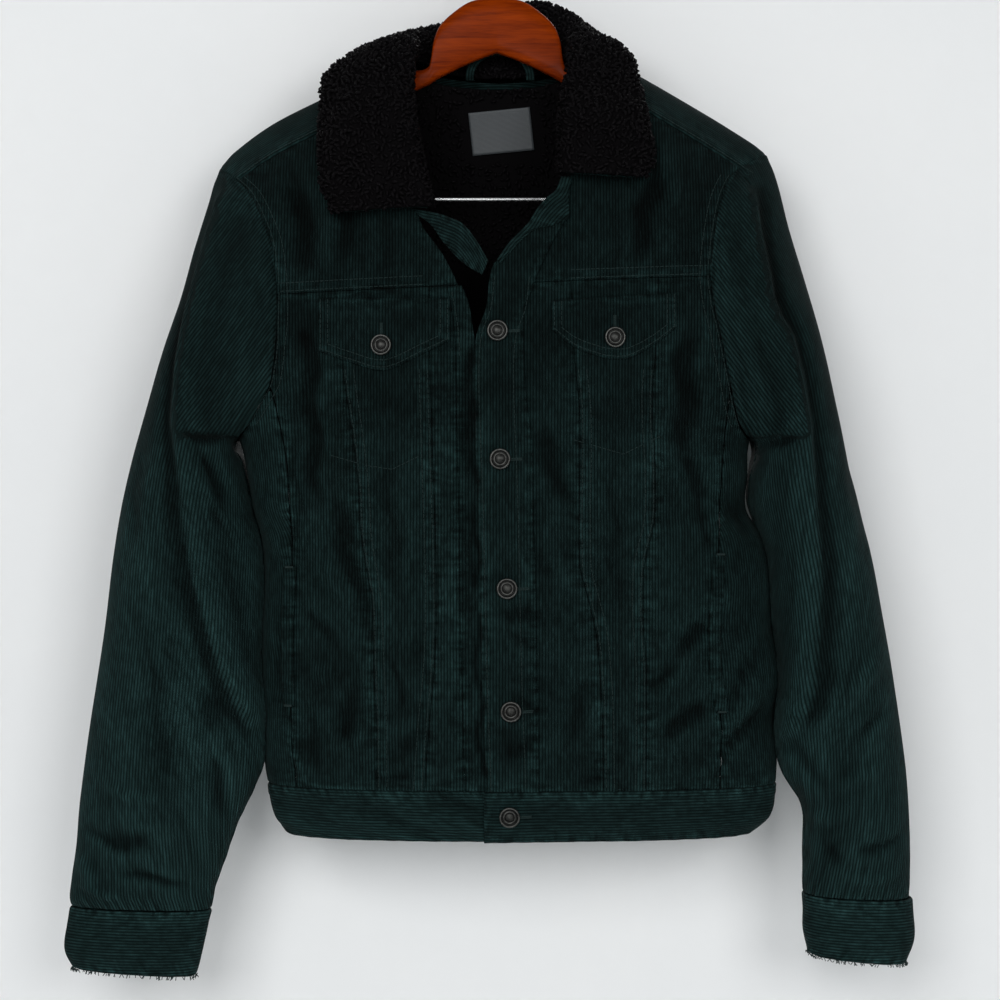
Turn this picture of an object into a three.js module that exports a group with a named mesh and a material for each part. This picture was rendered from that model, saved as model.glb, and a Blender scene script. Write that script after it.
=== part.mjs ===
// Sherpa lined corduroy jacket on a wooden hanger. Millimetres, +Z up, front faces -Y.
// The origin is the inside top of the hanger's hook. "right" and "left" are the wearer's.
import * as THREE from 'three';

const SEAM_GAP = 0.3;        // between neighbouring pieces of cloth
const CLOTH = 1.8;           // wall of the corduroy
const RIDGE_DROP = 140;      // height over which a shoulder rounds from its ridge to full depth
const RIDGE_POWER = 1.7;     // how pointed the ridge is: 2 is a round, 1 a roof
const GIRTH_POWER = 2.6;     // how boxy the body is across: 2 is an ellipse
const BODY_CHART = 400;      // millimetres of height that one step of q covers below the rounding
const WAIST_TOP = -703;      // seam between the body and the waistband
const HEM = -743.5;          // bottom edge of the waistband
const SHOULDER_SEAM = 34;    // how far the back yoke comes forward over the ridge
const BACK_SEAM = -288;      // seam below the back yoke
const ON = 0.9;              // between a panel and what is sewn on it, with their facets
const ARMHOLE_GAP = 0.8;     // between a sleeve's head and the armhole's facets

const COLOURS = { corduroy: '#232f30', sherpa: '#121113', wood: '#8a3f1f', steel: '#b9bcc0',
  metal: '#8f8f88', label: '#55585c', lining: '#0e0e10' };

// Small mathematics

const mix = (a, b, t) => a + (b - a) * t;
const clamp = (v, low, high) => Math.min(high, Math.max(low, v));
const ease = (t) => { const c = clamp(t, 0, 1); return c * c * (3 - 2 * c); };

// Smooth reading of one column of a table at a key: a cubic through the rows, flat past its ends.
function read(table, keyName, column, key) {
  const up = table[0][keyName] < table[table.length - 1][keyName];
  const rows = up ? table : [...table].reverse();
  const last = rows.length - 1;
  if (key <= rows[0][keyName]) return rows[0][column];
  if (key >= rows[last][keyName]) return rows[last][column];
  let i = 0;
  while (rows[i + 1][keyName] < key) i += 1;
  const slope = (n) => {
    const before = rows[Math.max(n - 1, 0)];
    const after = rows[Math.min(n + 1, last)];
    return (after[column] - before[column]) / (after[keyName] - before[keyName]);
  };
  const span = rows[i + 1][keyName] - rows[i][keyName];
  const t = (key - rows[i][keyName]) / span;
  const from = rows[i][column];
  const to = rows[i + 1][column];
  return from * (1 + 2 * t) * (1 - t) ** 2 + slope(i) * span * t * (1 - t) ** 2
    + to * t * t * (3 - 2 * t) - slope(i + 1) * span * t * t * (1 - t);
}

const table = (names, ...rows) => rows.map((row) => Object.fromEntries(names.map((n, i) => [n, row[i]])));

// The garment's outline

// Height of the shoulder ridge across the jacket.
const SHOULDER_LINE = table(['x', 'z'],
  [-262, -240], [-227, -202.6], [-214, -188.5], [-183, -166], [-138, -143], [-100, -122.5], [-80, -111.5],
  [-40, -100], [0, -96], [40, -98], [80, -107], [117, -127], [150, -146], [190, -170],
  [220.6, -191], [262, -232]);

// Where the sides are at each height; above the underarm they lie out in the sleeves.
const SIDES = table(['z', 'right', 'left', 'front', 'back', 'middle'],
  [-60, -255, 255, 66, 44, 0], [-200, -258, 256, 67, 46, -1], [-300, -256, 254, 68, 48, -3],
  [-360, -246, 242, 67, 47, -5], [-400, -226, 222, 66, 46, -6], [-424, -210, 206, 66, 45, -7],
  [-455, -202.5, 203.5, 65, 44, -8], [-482, -198, 202.5, 64, 43, -8], [-505, -191.5, 216.5, 64, 42, -8],
  [-540, -189.5, 222.5, 63, 41, -8], [-575, -192, 223.5, 63, 40, -8], [-600, -192, 228.5, 62, 39, -8],
  [-620, -192, 230.5, 61, 38, -8], [-645, -191, 225.5, 60, 37, -8], [-680, -189.5, 227.5, 58, 36, -8],
  [-703, -186, 226.5, 57, 35, -8], [-730, -180, 222, 55, 33, -8], [-744, -171, 206, 52, 31, -8]);

// The armholes on the front and on the back, as x at each height.
const ARMHOLE = {
  right: {
    front: table(['z', 'x'], [-202.6, -227], [-225, -201], [-243, -190], [-270, -179], [-307, -174],
      [-345, -174.5], [-381, -180], [-394, -187], [-411, -198], [-424.5, -211]),
    back: table(['z', 'x'], [-202.6, -227], [-225, -213], [-250, -202], [-290, -194], [-340, -193],
      [-385, -197], [-411, -204], [-424.5, -211]),
  },
  left: {
    front: table(['z', 'x'], [-192, 220.6], [-209, 193.5], [-226, 182], [-249, 175], [-292, 169],
      [-317, 171], [-345, 177.5], [-381, 185.4], [-401, 190], [-416, 196], [-425.5, 206.5]),
    back: table(['z', 'x'], [-192, 220.6], [-215, 206], [-240, 196], [-285, 189], [-335, 189],
      [-385, 193], [-411, 199], [-425.5, 206.5]),
  },
};

// Seams that run down the fronts, as x at each height.
const SEAM = {
  rightNeck: table(['z', 'x'], [-100, -77], [-113, -78], [-145, -80], [-180, -76], [-215, -68],
    [-243, -62], [-258, -59], [-279, -44], [-293, -36], [-309, -29]),
  leftNeck: table(['z', 'x'], [-100, 71.5], [-113, 72.5], [-142, 68], [-170, 61], [-196, 59], [-219, 57],
    [-232, 49], [-252, 47], [-279, 32], [-297, 23], [-306, 17]),
  rightPlacket: table(['z', 'x'], [-306, -39], [-343, -33], [-380, -32], [-474, -30], [-552, -29],
    [-630, -27], [-703, -25]),
  rightEdge: table(['z', 'x'], [-306, -29.5], [-320, -25], [-353, -19.5], [-380, -8], [-420, 9],
    [-703, 10]),
  leftEdge: table(['z', 'x'], [-255, 20], [-291, -3], [-324, -8.5], [-346, -16], [-380, -18],
    [-474, -14.7], [-552, -13], [-630, -11], [-703, -8.5], [-744, -10]),
  leftPlacket: table(['z', 'x'], [-252, 55], [-279, 40], [-297, 32], [-313, 26], [-324, 21.3],
    [-343, 20.5], [-395, 23], [-432, 27.6], [-489, 28.3], [-537, 30], [-703, 33]),
  rightInner: table(['z', 'x'], [-306, -53], [-377, -52], [-474, -49], [-549, -47], [-598, -48.5],
    [-649, -53], [-703, -57]),
  rightOuter: table(['z', 'x'], [-306, -127], [-377, -120], [-432, -112], [-472, -108], [-499, -107],
    [-549, -99.5], [-598, -97], [-649, -95], [-703, -95]),
  leftInner: table(['z', 'x'], [-303, 58], [-364, 61], [-407, 65], [-524, 65], [-549, 71], [-574, 77],
    [-598, 80], [-636, 82.5], [-703, 84]),
  leftOuter: table(['z', 'x'], [-300, 127], [-357, 124.6], [-395, 122], [-457, 124.6], [-489, 124],
    [-524, 116], [-562, 114.5], [-611, 117.5], [-703, 117.5]),
  rightSide: table(['z', 'x'], [-381, -180], [-400, -175], [-441, -167], [-474, -165], [-525, -163],
    [-575, -165.5], [-639, -164.5], [-703, -160]),
  leftSide: table(['z', 'x'], [-381, 185.4], [-400, 184], [-441, 180], [-517, 175.5], [-595, 171],
    [-641, 177], [-703, 177]),
  backRight: table(['z', 'x'], [-288, -104], [-420, -92], [-560, -76], [-703, -68]),
  backLeft: table(['z', 'x'], [-288, 104], [-420, 94], [-560, 82], [-703, 76]),
  backSideRight: table(['z', 'x'], [-381, -196], [-441, -178], [-525, -168], [-639, -166], [-703, -162]),
  backSideLeft: table(['z', 'x'], [-381, 192], [-441, 184], [-525, 186], [-639, 188], [-703, 186]),
};
// The left front runs on a little way under its placket.
SEAM.leftUnder = SEAM.leftPlacket.map(({ z, x }) => ({ z, x: x - 9 }));

// Main creases of the body: a line on the front or back, its half width, and how far it lies
// out (+) or in (-).
const CREASES = table(['x0', 'z0', 'x1', 'z1', 'width', 'out', 'back'],
  [-160, -224, -147, -290, 11, -7, 0], [-121, -200, -118, -285, 10, -6, 0],
  [-149, -335, -144, -470, 9, -7, 0], [-129, -475, -96, -585, 10, -6, 0],
  [-140, -525, -120, -550, 9, 3, 0], [-184, -498, -168, -520, 9, 3, 0],
  [-108, -625, -122, -655, 9, -5, 0], [-146, -611, -130, -612, 8, 4, 0],
  [-135, -666, -104, -664, 9, 4, 0], [-92, -657, -58, -650, 9, 3, 0],
  [127, -212, 108, -285, 10, -7, 0], [148, -345, 150, -440, 10, -6, 0],
  [150, -440, 160, -470, 9, -4, 0], [30, -415, 55, -474, 10, -4, 0],
  [40, -476, 52, -553, 9, 3, 0], [160, -572, 148, -592, 9, -5, 0],
  [210, -566, 198, -592, 9, 4, 0], [214, -618, 178, -662, 9, 5, 0],
  [166, -638, 134, -660, 9, -5, 0], [0, -566, 44, -564, 8, -3, 0],
  [70, -626, 60, -648, 9, -5, 0], [34, -660, 4, -674, 9, -4, 0],
  [-24, -470, -22, -640, 8, -3, 0],
  [-120, -250, -90, -420, 16, -6, 1], [118, -250, 92, -430, 16, -6, 1],
  [-40, -330, -70, -560, 18, -5, 1], [45, -320, 60, -600, 18, -5, 1],
  [-150, -470, -110, -560, 14, 5, 1], [150, -500, 120, -590, 14, 5, 1],
  [-130, -640, -60, -670, 12, 4, 1], [60, -650, 130, -640, 12, 4, 1],
  [-10, -420, 6, -640, 14, 4, 1]);

// The body's surface. A place on it is a girth position a (0 front middle, 1 the wearer's left
// side, 2 and -2 back middle, -1 the right side) and a height position q (0 on the ridge of the
// shoulders, 1 where the rounding ends, more below it, less than 0 over the ridge to the back).

const ridge = (x) => read(SHOULDER_LINE, 'x', 'z', x);
const side = (column, z) => read(SIDES, 'z', column, z);
const centre = (z) => (side('left', z) + side('right', z)) / 2;
const halfWidth = (z) => (side('left', z) - side('right', z)) / 2;
const quarter = Math.PI / 2;

function dropOf(q) {
  const s = Math.abs(q);
  if (s < 1) return RIDGE_DROP * (1 - Math.cos(s * quarter) ** (2 / RIDGE_POWER));
  return RIDGE_DROP + (s - 1) * BODY_CHART;
}

function heightAt(drop) {
  if (drop >= RIDGE_DROP) return 1 + (drop - RIDGE_DROP) / BODY_CHART;
  return Math.acos((1 - clamp(drop, 0, RIDGE_DROP) / RIDGE_DROP) ** (RIDGE_POWER / 2)) / quarter;
}
const girthAt = (x, z) => Math.asin(clamp((x - centre(z)) / halfWidth(z), -1, 1)) / quarter;

function creaseAt(x, z, back) {
  let sum = 0;
  for (const c of CREASES) {
    if (Boolean(c.back) !== back) continue;
    const dx = c.x1 - c.x0;
    const dz = c.z1 - c.z0;
    const t = clamp(((x - c.x0) * dx + (z - c.z0) * dz) / (dx * dx + dz * dz), 0, 1);
    const away = Math.hypot(x - c.x0 - t * dx, z - c.z0 - t * dz) / c.width;
    sum += c.out * Math.exp(-away * away);
  }
  return sum;
}

function plain(a, q) {
  const drop = dropOf(q);
  const swing = Math.sin(a * quarter);
  let x = 0;
  let z = 0;
  for (let n = 0; n < 14; n += 1) {
    z = ridge(x) - drop;
    x = centre(z) + halfWidth(z) * swing;
  }
  const round = Math.abs(q) < 1 ? Math.sin(Math.abs(q) * quarter) ** (2 / RIDGE_POWER) : 1;
  const across = (1 - Math.min(1, Math.abs(swing)) ** GIRTH_POWER) ** (1 / GIRTH_POWER);
  const back = Math.cos(a * quarter) * (q < 0 ? -1 : 1) < 0;
  const y = side('middle', z) + (back ? 1 : -1) * side(back ? 'back' : 'front', z) * round * across;
  return { p: new THREE.Vector3(x, y, z), back };
}

// A point of the body's surface with its outward normal; creases fade to nothing at the seams.
function body(a, q, creases = 1) {
  const step = 0.012;
  const { p, back } = plain(a, q);
  const along = plain(a + step, q).p.sub(plain(a - step, q).p);
  const down = plain(a, q + step).p.sub(plain(a, q - step).p);
  const n = along.cross(down).normalize().negate();
  const fade = ease((p.z - WAIST_TOP) / 40) * ease((1 - Math.abs(Math.sin(a * quarter))) * 9);
  const depth = creases * fade * creaseAt(p.x, p.z, back);
  return { p: p.addScaledVector(n, depth), n };
}

// Closed shells

function solid(points, triangles) {
  const used = new Map();
  const flat = [];
  const index = triangles.flat().map((i) => {
    if (!used.has(i)) {
      used.set(i, used.size);
      flat.push(points[i].x, points[i].y, points[i].z);
    }
    return used.get(i);
  });
  let volume = 0;
  for (const [i, j, k] of triangles) volume += points[i].dot(points[j].clone().cross(points[k]));
  if (volume < 0) {
    for (let i = 0; i < index.length; i += 3) [index[i], index[i + 1]] = [index[i + 1], index[i]];
  }
  const geometry = new THREE.BufferGeometry();
  geometry.setAttribute('position', new THREE.Float32BufferAttribute(flat, 3));
  geometry.setIndex(index);
  geometry.computeVertexNormals();
  return geometry;
}

// Wall between two grids of points, closed round its rim; around joins the last column to the
// first, and has says which cells there are.
function wall(outer, inner, { around = false, has = () => true } = {}) {
  const rows = outer.length;
  const cols = outer[0].length;
  const cells = around ? cols : cols - 1;
  const on = (i, j) => {
    if (i < 0 || i > rows - 2 || (!around && (j < 0 || j >= cells))) return false;
    return has(i, (j + cells) % cells);
  };
  const id = (i, j, far) => (far ? rows * cols : 0) + i * cols + (j % cols);
  const triangles = [];
  const quad = (a, b, c, d) => triangles.push([a, b, c], [a, c, d]);
  for (let i = 0; i < rows - 1; i += 1) {
    for (let j = 0; j < cells; j += 1) {
      if (!on(i, j)) continue;
      const corners = [[i, j], [i + 1, j], [i + 1, j + 1], [i, j + 1]];
      quad(...corners.map(([r, c]) => id(r, c, false)));
      quad(...[...corners].reverse().map(([r, c]) => id(r, c, true)));
      const beyond = [on(i, j - 1), on(i + 1, j), on(i, j + 1), on(i - 1, j)];
      beyond.forEach((there, k) => {
        if (there) return;
        const [p, r] = [corners[k], corners[(k + 1) % 4]];
        quad(id(...r, false), id(...p, false), id(...p, true), id(...r, true));
      });
    }
  }
  return solid([...outer.flat(), ...inner.flat()], triangles);
}

// A sheet over rows and columns of places, with its outer face raised and its wall inward.
function sheet(place, rows, cols, raised, thick, options = {}) {
  const outer = [];
  const inner = [];
  const columns = options.around ? cols : cols + 1;
  const raisedAt = (f, v) => (typeof raised === 'function' ? raised(f, v) : raised);
  for (let i = 0; i <= rows; i += 1) {
    const v = i / rows;
    const spots = Array.from({ length: columns }, (_, j) => place(j / cols, v));
    const lift = (under) => ({ p, n }, j) => p.clone().addScaledVector(n, raisedAt(j / cols, v) - under);
    outer.push(spots.map(lift(0)));
    inner.push(spots.map(lift(thick)));
  }
  return wall(outer, inner, options);
}

const parts = new THREE.Group();

function add(name, geometry, colour, roughness = 0.95, metalness = 0) {
  const material = new THREE.MeshStandardMaterial({ color: colour, roughness, metalness });
  const mesh = new THREE.Mesh(geometry, material);
  mesh.name = name;
  parts.add(mesh);
}

// Cloth panels of the body, between two side edges and two level edges

// A side edge: a seam's x at each height, moved in by half the seam gap, as a girth position.
const onFront = (rows, inset) => (z) => girthAt(read(rows, 'z', 'x', z) + inset, z);
const onBack = (rows, inset, turn) => (z) => 2 * turn - girthAt(read(rows, 'z', 'x', z) + inset, z);
const HALF = SEAM_GAP / 2;
const chestSeam = (x) => -305 + 0.042 * x;
const shoulderSeam = (x) => ridge(x) - SHOULDER_SEAM;

// Place at fraction f across and v down, between side edges (girth by height) and level edges
// (height by x).
function between(first, second, top, bottom, creases) {
  return (f, v) => {
    let z = (top(0) + bottom(0)) / 2;
    let a = 0;
    let q = 0;
    for (let n = 0; n < 24; n += 1) {
      a = mix(first(z), second(z), f);
      const x = centre(z) + halfWidth(z) * Math.sin(a * quarter);
      q = mix(heightAt(ridge(x) - top(x)), heightAt(ridge(x) - bottom(x)), v);
      z = mix(z, ridge(x) - dropOf(q), 0.7);
    }
    return body(a, q, creases);
  };
}

// The armhole's x where a level edge meets it, and the corner heights that follow.
const armhole = (who, face, z) => read(ARMHOLE[who][face], 'z', 'x', z);

function fronts() {
  const ROWS = 14;
  const top = (x) => chestSeam(x) - HALF;
  const bottom = () => WAIST_TOP + HALF;
  for (const [who, sign] of [['right', -1], ['left', 1]]) {
    const arm = (inset) => (z) => girthAt(armhole(who, 'front', z) + inset, z);
    const towards = (rows, by) => onFront(rows, by * sign);
    const outerEdge = (z) => {
      const seam = read(SEAM[`${who}Side`], 'z', 'x', Math.min(z, -381));
      const hole = armhole(who, 'front', Math.max(z, -424));
      const x = sign * Math.min(sign * seam, z > -424 ? sign * hole : Infinity);
      return girthAt((z > -384 ? hole : x) - sign * 0.4, z);
    };
    add(`front_yoke_${who}`, sheet(between(towards(SEAM[`${who}Neck`], HALF), arm(-HALF * sign),
      (x) => shoulderSeam(x) - HALF, (x) => chestSeam(x) + HALF), 8, 11, 0, CLOTH), COLOURS.corduroy);
    const first = SEAM[who === 'right' ? 'rightPlacket' : 'leftUnder'];
    const seams = [first, SEAM[`${who}Inner`], SEAM[`${who}Outer`]];
    add(`centre_front_${who}`, sheet(between(towards(seams[0], HALF), towards(seams[1], -HALF), top, bottom),
      ROWS, who === 'right' ? 2 : 5, 0, CLOTH), COLOURS.corduroy);
    add(`pocket_panel_${who}`, sheet(between(towards(seams[1], HALF), towards(seams[2], -HALF), top, bottom),
      ROWS, 7, 0, CLOTH), COLOURS.corduroy);
    add(`side_front_${who}`, sheet(between(towards(seams[2], HALF), outerEdge, top, bottom),
      ROWS, 6, 0, CLOTH), COLOURS.corduroy);
  }
}

// The panel under the arm, from the front's side seam round to the back's; its top edge is the
// bottom of the armhole.
function sidePanel(who, sign) {
  const lowest = ARMHOLE[who].front[ARMHOLE[who].front.length - 1].z;
  const front = onFront(SEAM[`${who}Side`], sign * 0.5);
  const back = onBack(SEAM[`backSide${who === 'right' ? 'Right' : 'Left'}`], sign * 0.5, sign);
  // Height of the armhole's edge at a girth position: scanned down its own table.
  const rim = (a) => {
    const face = sign * a < 1 ? 'front' : 'back';
    let z = -386;
    while (z > lowest) {
      const x = armhole(who, face, z);
      const here = face === 'front' ? girthAt(x, z) : 2 * sign - girthAt(x, z);
      if (face === 'front' ? sign * here >= sign * a : sign * here <= sign * a) break;
      z -= 0.25;
    }
    return z - 1.6;
  };
  return (f, v) => {
    let top = -400;
    for (let n = 0; n < 12; n += 1) top = mix(top, rim(mix(front(top), back(top), f)), 0.6);
    const z = mix(Math.min(top, -388), WAIST_TOP + HALF, v);
    const a = mix(front(z), back(z), f);
    const x = centre(z) + halfWidth(z) * Math.sin(a * quarter);
    return body(a, heightAt(ridge(x) - z));
  };
}

function plackets() {
  add('placket_right', sheet(between(onFront(SEAM.rightEdge, 0), onFront(SEAM.rightPlacket, HALF),
    (x) => chestSeam(x) - HALF, () => WAIST_TOP + HALF), 14, 4, 0, CLOTH), COLOURS.corduroy);
  // The left placket's top end is cut along the turned facing.
  const neckCut = table(['x', 'z'], [-12, -296], [-3, -290], [9, -278], [28, -262], [45, -258], [58, -252]);
  add('placket_left', sheet(between(onFront(SEAM.leftEdge, 0), onFront(SEAM.leftPlacket, 0),
    (x) => read(neckCut, 'x', 'z', x), () => WAIST_TOP + HALF), 16, 4, ON + 2.3, 2), COLOURS.corduroy);
}

// The facings turned out at the neck: strips between two lines of places on the front.
function turnedFacing(lines, steps, raised) {
  const along = (rows, t) => {
    const key = t * (rows.length - 1);
    const keyed = rows.map((row, i) => ({ ...row, i }));
    return { x: read(keyed, 'i', 'x', key), z: read(keyed, 'i', 'z', key) };
  };
  const place = (f, v) => {
    const [inner, outer] = lines.map((rows) => along(rows, v));
    const x = mix(inner.x, outer.x, f);
    const z = mix(inner.z, outer.z, f);
    return body(girthAt(x, z), heightAt(ridge(x) - z));
  };
  return sheet(place, steps, 2, raised, 1.6);
}

const FACING = {
  right: [
    table(['x', 'z'], [-66, -246], [-48, -249.5], [-37, -253], [-26, -258.5], [-16, -271], [-6.5, -287]),
    table(['x', 'z'], [-62, -251], [-51.5, -259], [-43, -271], [-33, -282.5], [-22, -292], [-11.5, -298]),
  ],
  left: [
    table(['x', 'z'], [50, -222], [46, -232], [39, -238], [31.5, -246.5], [23.5, -259], [9, -274], [0, -287]),
    table(['x', 'z'], [58, -222], [56, -240], [55.5, -254], [43, -260], [28.5, -264], [15, -276], [3, -290]),
  ],
};

// Pocket flaps lie on the chest below the yoke seam, and their lower edge comes to a point.
const FLAP = {
  right: { top: table(['x', 'z'], [-140, -316], [-36, -316.5]),
    bottom: table(['x', 'z'], [-140, -357], [-115, -366], [-88, -372.5], [-58, -360], [-35, -349]) },
  left: { top: table(['x', 'z'], [42.5, -318.5], [141, -311.5]),
    bottom: table(['x', 'z'], [43, -341], [60, -354.5], [78, -361.5], [90, -364], [103, -363],
      [122, -353], [140, -339]) },
};

function pocketFlap(who) {
  const { top, bottom } = FLAP[who];
  const [x0, x1] = [top[0].x, top[1].x];
  const place = (f, v) => {
    const x = mix(x0, x1, f);
    const z = mix(read(top, 'x', 'z', x), read(bottom, 'x', 'z', x), v);
    return body(girthAt(x, z), heightAt(ridge(x) - z));
  };
  return sheet(place, 3, 11, ON + 2, 2);
}

// Slanting hand pockets at the side seams, each closed by a narrow welt.
const WELT = { right: { top: -527, bottom: -637 }, left: { top: -517, bottom: -641 } };
function welt(who) {
  const { top, bottom } = WELT[who];
  const place = (f, v) => {
    const z = mix(top, bottom, v);
    const at = read(SEAM[`${who}Side`], 'z', 'x', z) + mix(-5, 5, f);
    return body(girthAt(at, z), heightAt(ridge(at) - z));
  };
  return sheet(place, 10, 2, ON + 2.4, 1.6);
}

// The back: a yoke that comes over the shoulders to the front, a centre panel and two sides

// The neck's edge on the back as x by height, and its height across.
const BACK_NECK = table(['x', 'z'], [-77, -113], [-60, -120], [-40, -124], [0, -127], [40, -124],
  [58, -119], [73, -112]);

function backYoke() {
  const acrossNeck = 10;
  const shoulderColumns = 8;
  const cols = acrossNeck + 2 * shoulderColumns;
  const seamRows = 6;
  const rows = seamRows + 7;
  const frontQ = heightAt(SHOULDER_SEAM - HALF);
  const place = (j, i) => {
    const inNeck = j >= shoulderColumns && j <= cols - shoulderColumns;
    // Rows before seamRows go from the front seam to the level of the back neck.
    let x = 0;
    let q = 0;
    let z = -200;
    for (let n = 0; n < 24; n += 1) {
      const back = q < 0;
      const hole = (who, s) => armhole(who, back ? 'back' : 'front', z) - s * HALF;
      const edges = [hole('right', -1), read(SEAM.rightNeck, 'z', 'x', Math.max(z, -150)) - HALF,
        read(SEAM.leftNeck, 'z', 'x', Math.max(z, -150)) + HALF, hole('left', 1)];
      if (j <= shoulderColumns) x = mix(edges[0], edges[1], j / shoulderColumns);
      else if (inNeck) x = mix(edges[1], edges[2], (j - shoulderColumns) / acrossNeck);
      else x = mix(edges[2], edges[3], (j - cols + shoulderColumns) / shoulderColumns);
      const neckQ = -heightAt(ridge(x) - (read(BACK_NECK, 'x', 'z', clamp(x, -77, 73)) - HALF));
      const level = Math.abs(x) < 70 ? neckQ : -heightAt(mix(16, 20, ease((Math.abs(x) - 70) / 100)));
      const lowQ = -heightAt(ridge(x) - (BACK_SEAM + HALF));
      if (i <= seamRows) q = mix(frontQ, level, i / seamRows);
      else q = mix(level, lowQ, (i - seamRows) / (rows - seamRows));
      z = mix(z, ridge(x) - dropOf(q), 0.7);
    }
    return body(girthAt(x, z), q);
  };
  const has = (i, j) => i >= seamRows || j < shoulderColumns || j >= cols - shoulderColumns;
  const outer = [];
  const inner = [];
  for (let i = 0; i <= rows; i += 1) {
    const spots = Array.from({ length: cols + 1 }, (_, j) => place(j, i));
    outer.push(spots.map(({ p }) => p.clone()));
    inner.push(spots.map(({ p, n }) => p.clone().addScaledVector(n, -CLOTH)));
  }
  return wall(outer, inner, { has });
}

function backs() {
  const top = () => BACK_SEAM - HALF;
  const bottom = () => WAIST_TOP + HALF;
  const back = (rows, inset) => onBack(rows, inset, -1);
  add('centre_back', sheet(between(back(SEAM.backRight, HALF), back(SEAM.backLeft, -HALF), top, bottom),
    12, 12, 0, CLOTH), COLOURS.corduroy);
  for (const [who, sign, turn] of [['Right', -1, -1], ['Left', 1, 1]]) {
    const name = who.toLowerCase();
    const outerEdge = (z) => {
      const hole = armhole(name, 'back', Math.max(z, -420));
      const seam = read(SEAM[`backSide${who}`], 'z', 'x', Math.min(z, -381));
      const x = z > -384 ? hole : sign * Math.min(sign * seam, z > -420 ? sign * hole : Infinity);
      return 2 * turn - girthAt(x - sign * 0.4, z);
    };
    const innerEdge = onBack(SEAM[`back${who}`], sign * HALF, turn);
    add(`side_back_${name}`, sheet(between(innerEdge, outerEdge, top, bottom), 12, 7, 0, CLOTH),
      COLOURS.corduroy);
  }
}

// The waistband goes once round, and its left end lies over its right end at the front.
function waistband() {
  const overX = -10;
  const underX = 13;
  const place = (f, v) => {
    const z = mix(WAIST_TOP - HALF, HEM, v);
    const start = girthAt(overX, z);
    const end = 4 + girthAt(underX, z);
    const a = mix(start, end, f);
    const x = centre(z) + halfWidth(z) * Math.sin(a * quarter);
    return body(a, heightAt(ridge(x) - z));
  };
  return sheet(place, 2, 46, (f) => (ON + 2.3) * (1 - ease(f * 14)), 2);
}

// Sleeves

// Rings from the armhole to the cuff seam: their innermost and outermost points as seen from
// the front, the middle of their depth, and half their depth.
const SLEEVE = {
  right: table(['ix', 'iz', 'ox', 'oz', 'y', 'deep'],
    [-211, -424.5, -227, -202.6, -5, 46], [-213, -427, -236.6, -234, -9, 50],
    [-213, -430, -246.8, -270, -11, 53], [-212.3, -434, -256.8, -311, -12, 55],
    [-210.3, -440, -269.3, -352, -13, 55], [-208.3, -447, -281.9, -397, -14, 54],
    [-205.8, -458, -293.1, -437, -15, 52], [-204.8, -482, -302.9, -478, -15, 50],
    [-197.3, -513, -310.2, -523, -16, 48], [-193.8, -555, -315.9, -572, -17, 46],
    [-193.8, -600, -321.5, -612, -19, 44], [-193.3, -641, -328.1, -656, -21, 42],
    [-193.3, -679, -333, -694, -23, 39], [-198.3, -705, -336.3, -723, -24, 36],
    [-208.5, -734, -338.5, -753, -25, 32], [-218.3, -762, -342, -777, -26, 27],
    [-226, -783.5, -343.5, -792, -27, 23], [-229.5, -802, -342.5, -799, -28, 18]),
  left: table(['ix', 'iz', 'ox', 'oz', 'y', 'deep'],
    [206.5, -425.5, 220.6, -192, -5, 46], [210, -428, 229.3, -217, -9, 50],
    [210.5, -431, 237.9, -254, -11, 54], [209.9, -435, 247.2, -288, -12, 56],
    [208.8, -441, 256.2, -323, -13, 57], [207.6, -449, 265.4, -360, -14, 57],
    [207, -460, 274.2, -401, -15, 56], [209.5, -476, 284.2, -445, -15, 54],
    [218.5, -497, 294.2, -486, -16, 52], [228.5, -523, 303.2, -526, -17, 51],
    [227, -560, 310.2, -565, -18, 50], [230.5, -597, 316.2, -600, -20, 48],
    [234.5, -628, 321.2, -633, -21, 47], [232.5, -665, 325.8, -665, -22, 45],
    [240.8, -694, 329.2, -694, -23, 42], [246.2, -722, 331.2, -726, -24, 38],
    [246.5, -755, 332.2, -759, -25, 33], [246.5, -789, 331.7, -792, -26, 27]),
};
const CUFF = {
  right: table(['ix', 'iz', 'ox', 'oz', 'y', 'deep'],
    [-229.5, -803, -342.5, -800, -28, 18], [-233, -818, -345.5, -816, -28, 18],
    [-237, -836, -347.5, -834, -28, 17.5], [-242, -856, -341, -849, -28, 16]),
  left: table(['ix', 'iz', 'ox', 'oz', 'y', 'deep'],
    [246.5, -790, 333.5, -793, -26, 27], [247, -805, 335, -809, -26, 27],
    [247, -820, 335.5, -826, -26, 26], [251, -838, 329, -845, -26, 24]),
};
const HEAD_BLEND = 4.5;      // rings over which a sleeve's head passes from the armhole's line
const SLEEVE_POWER = 2.3;    // how boxy a sleeve is across

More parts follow.
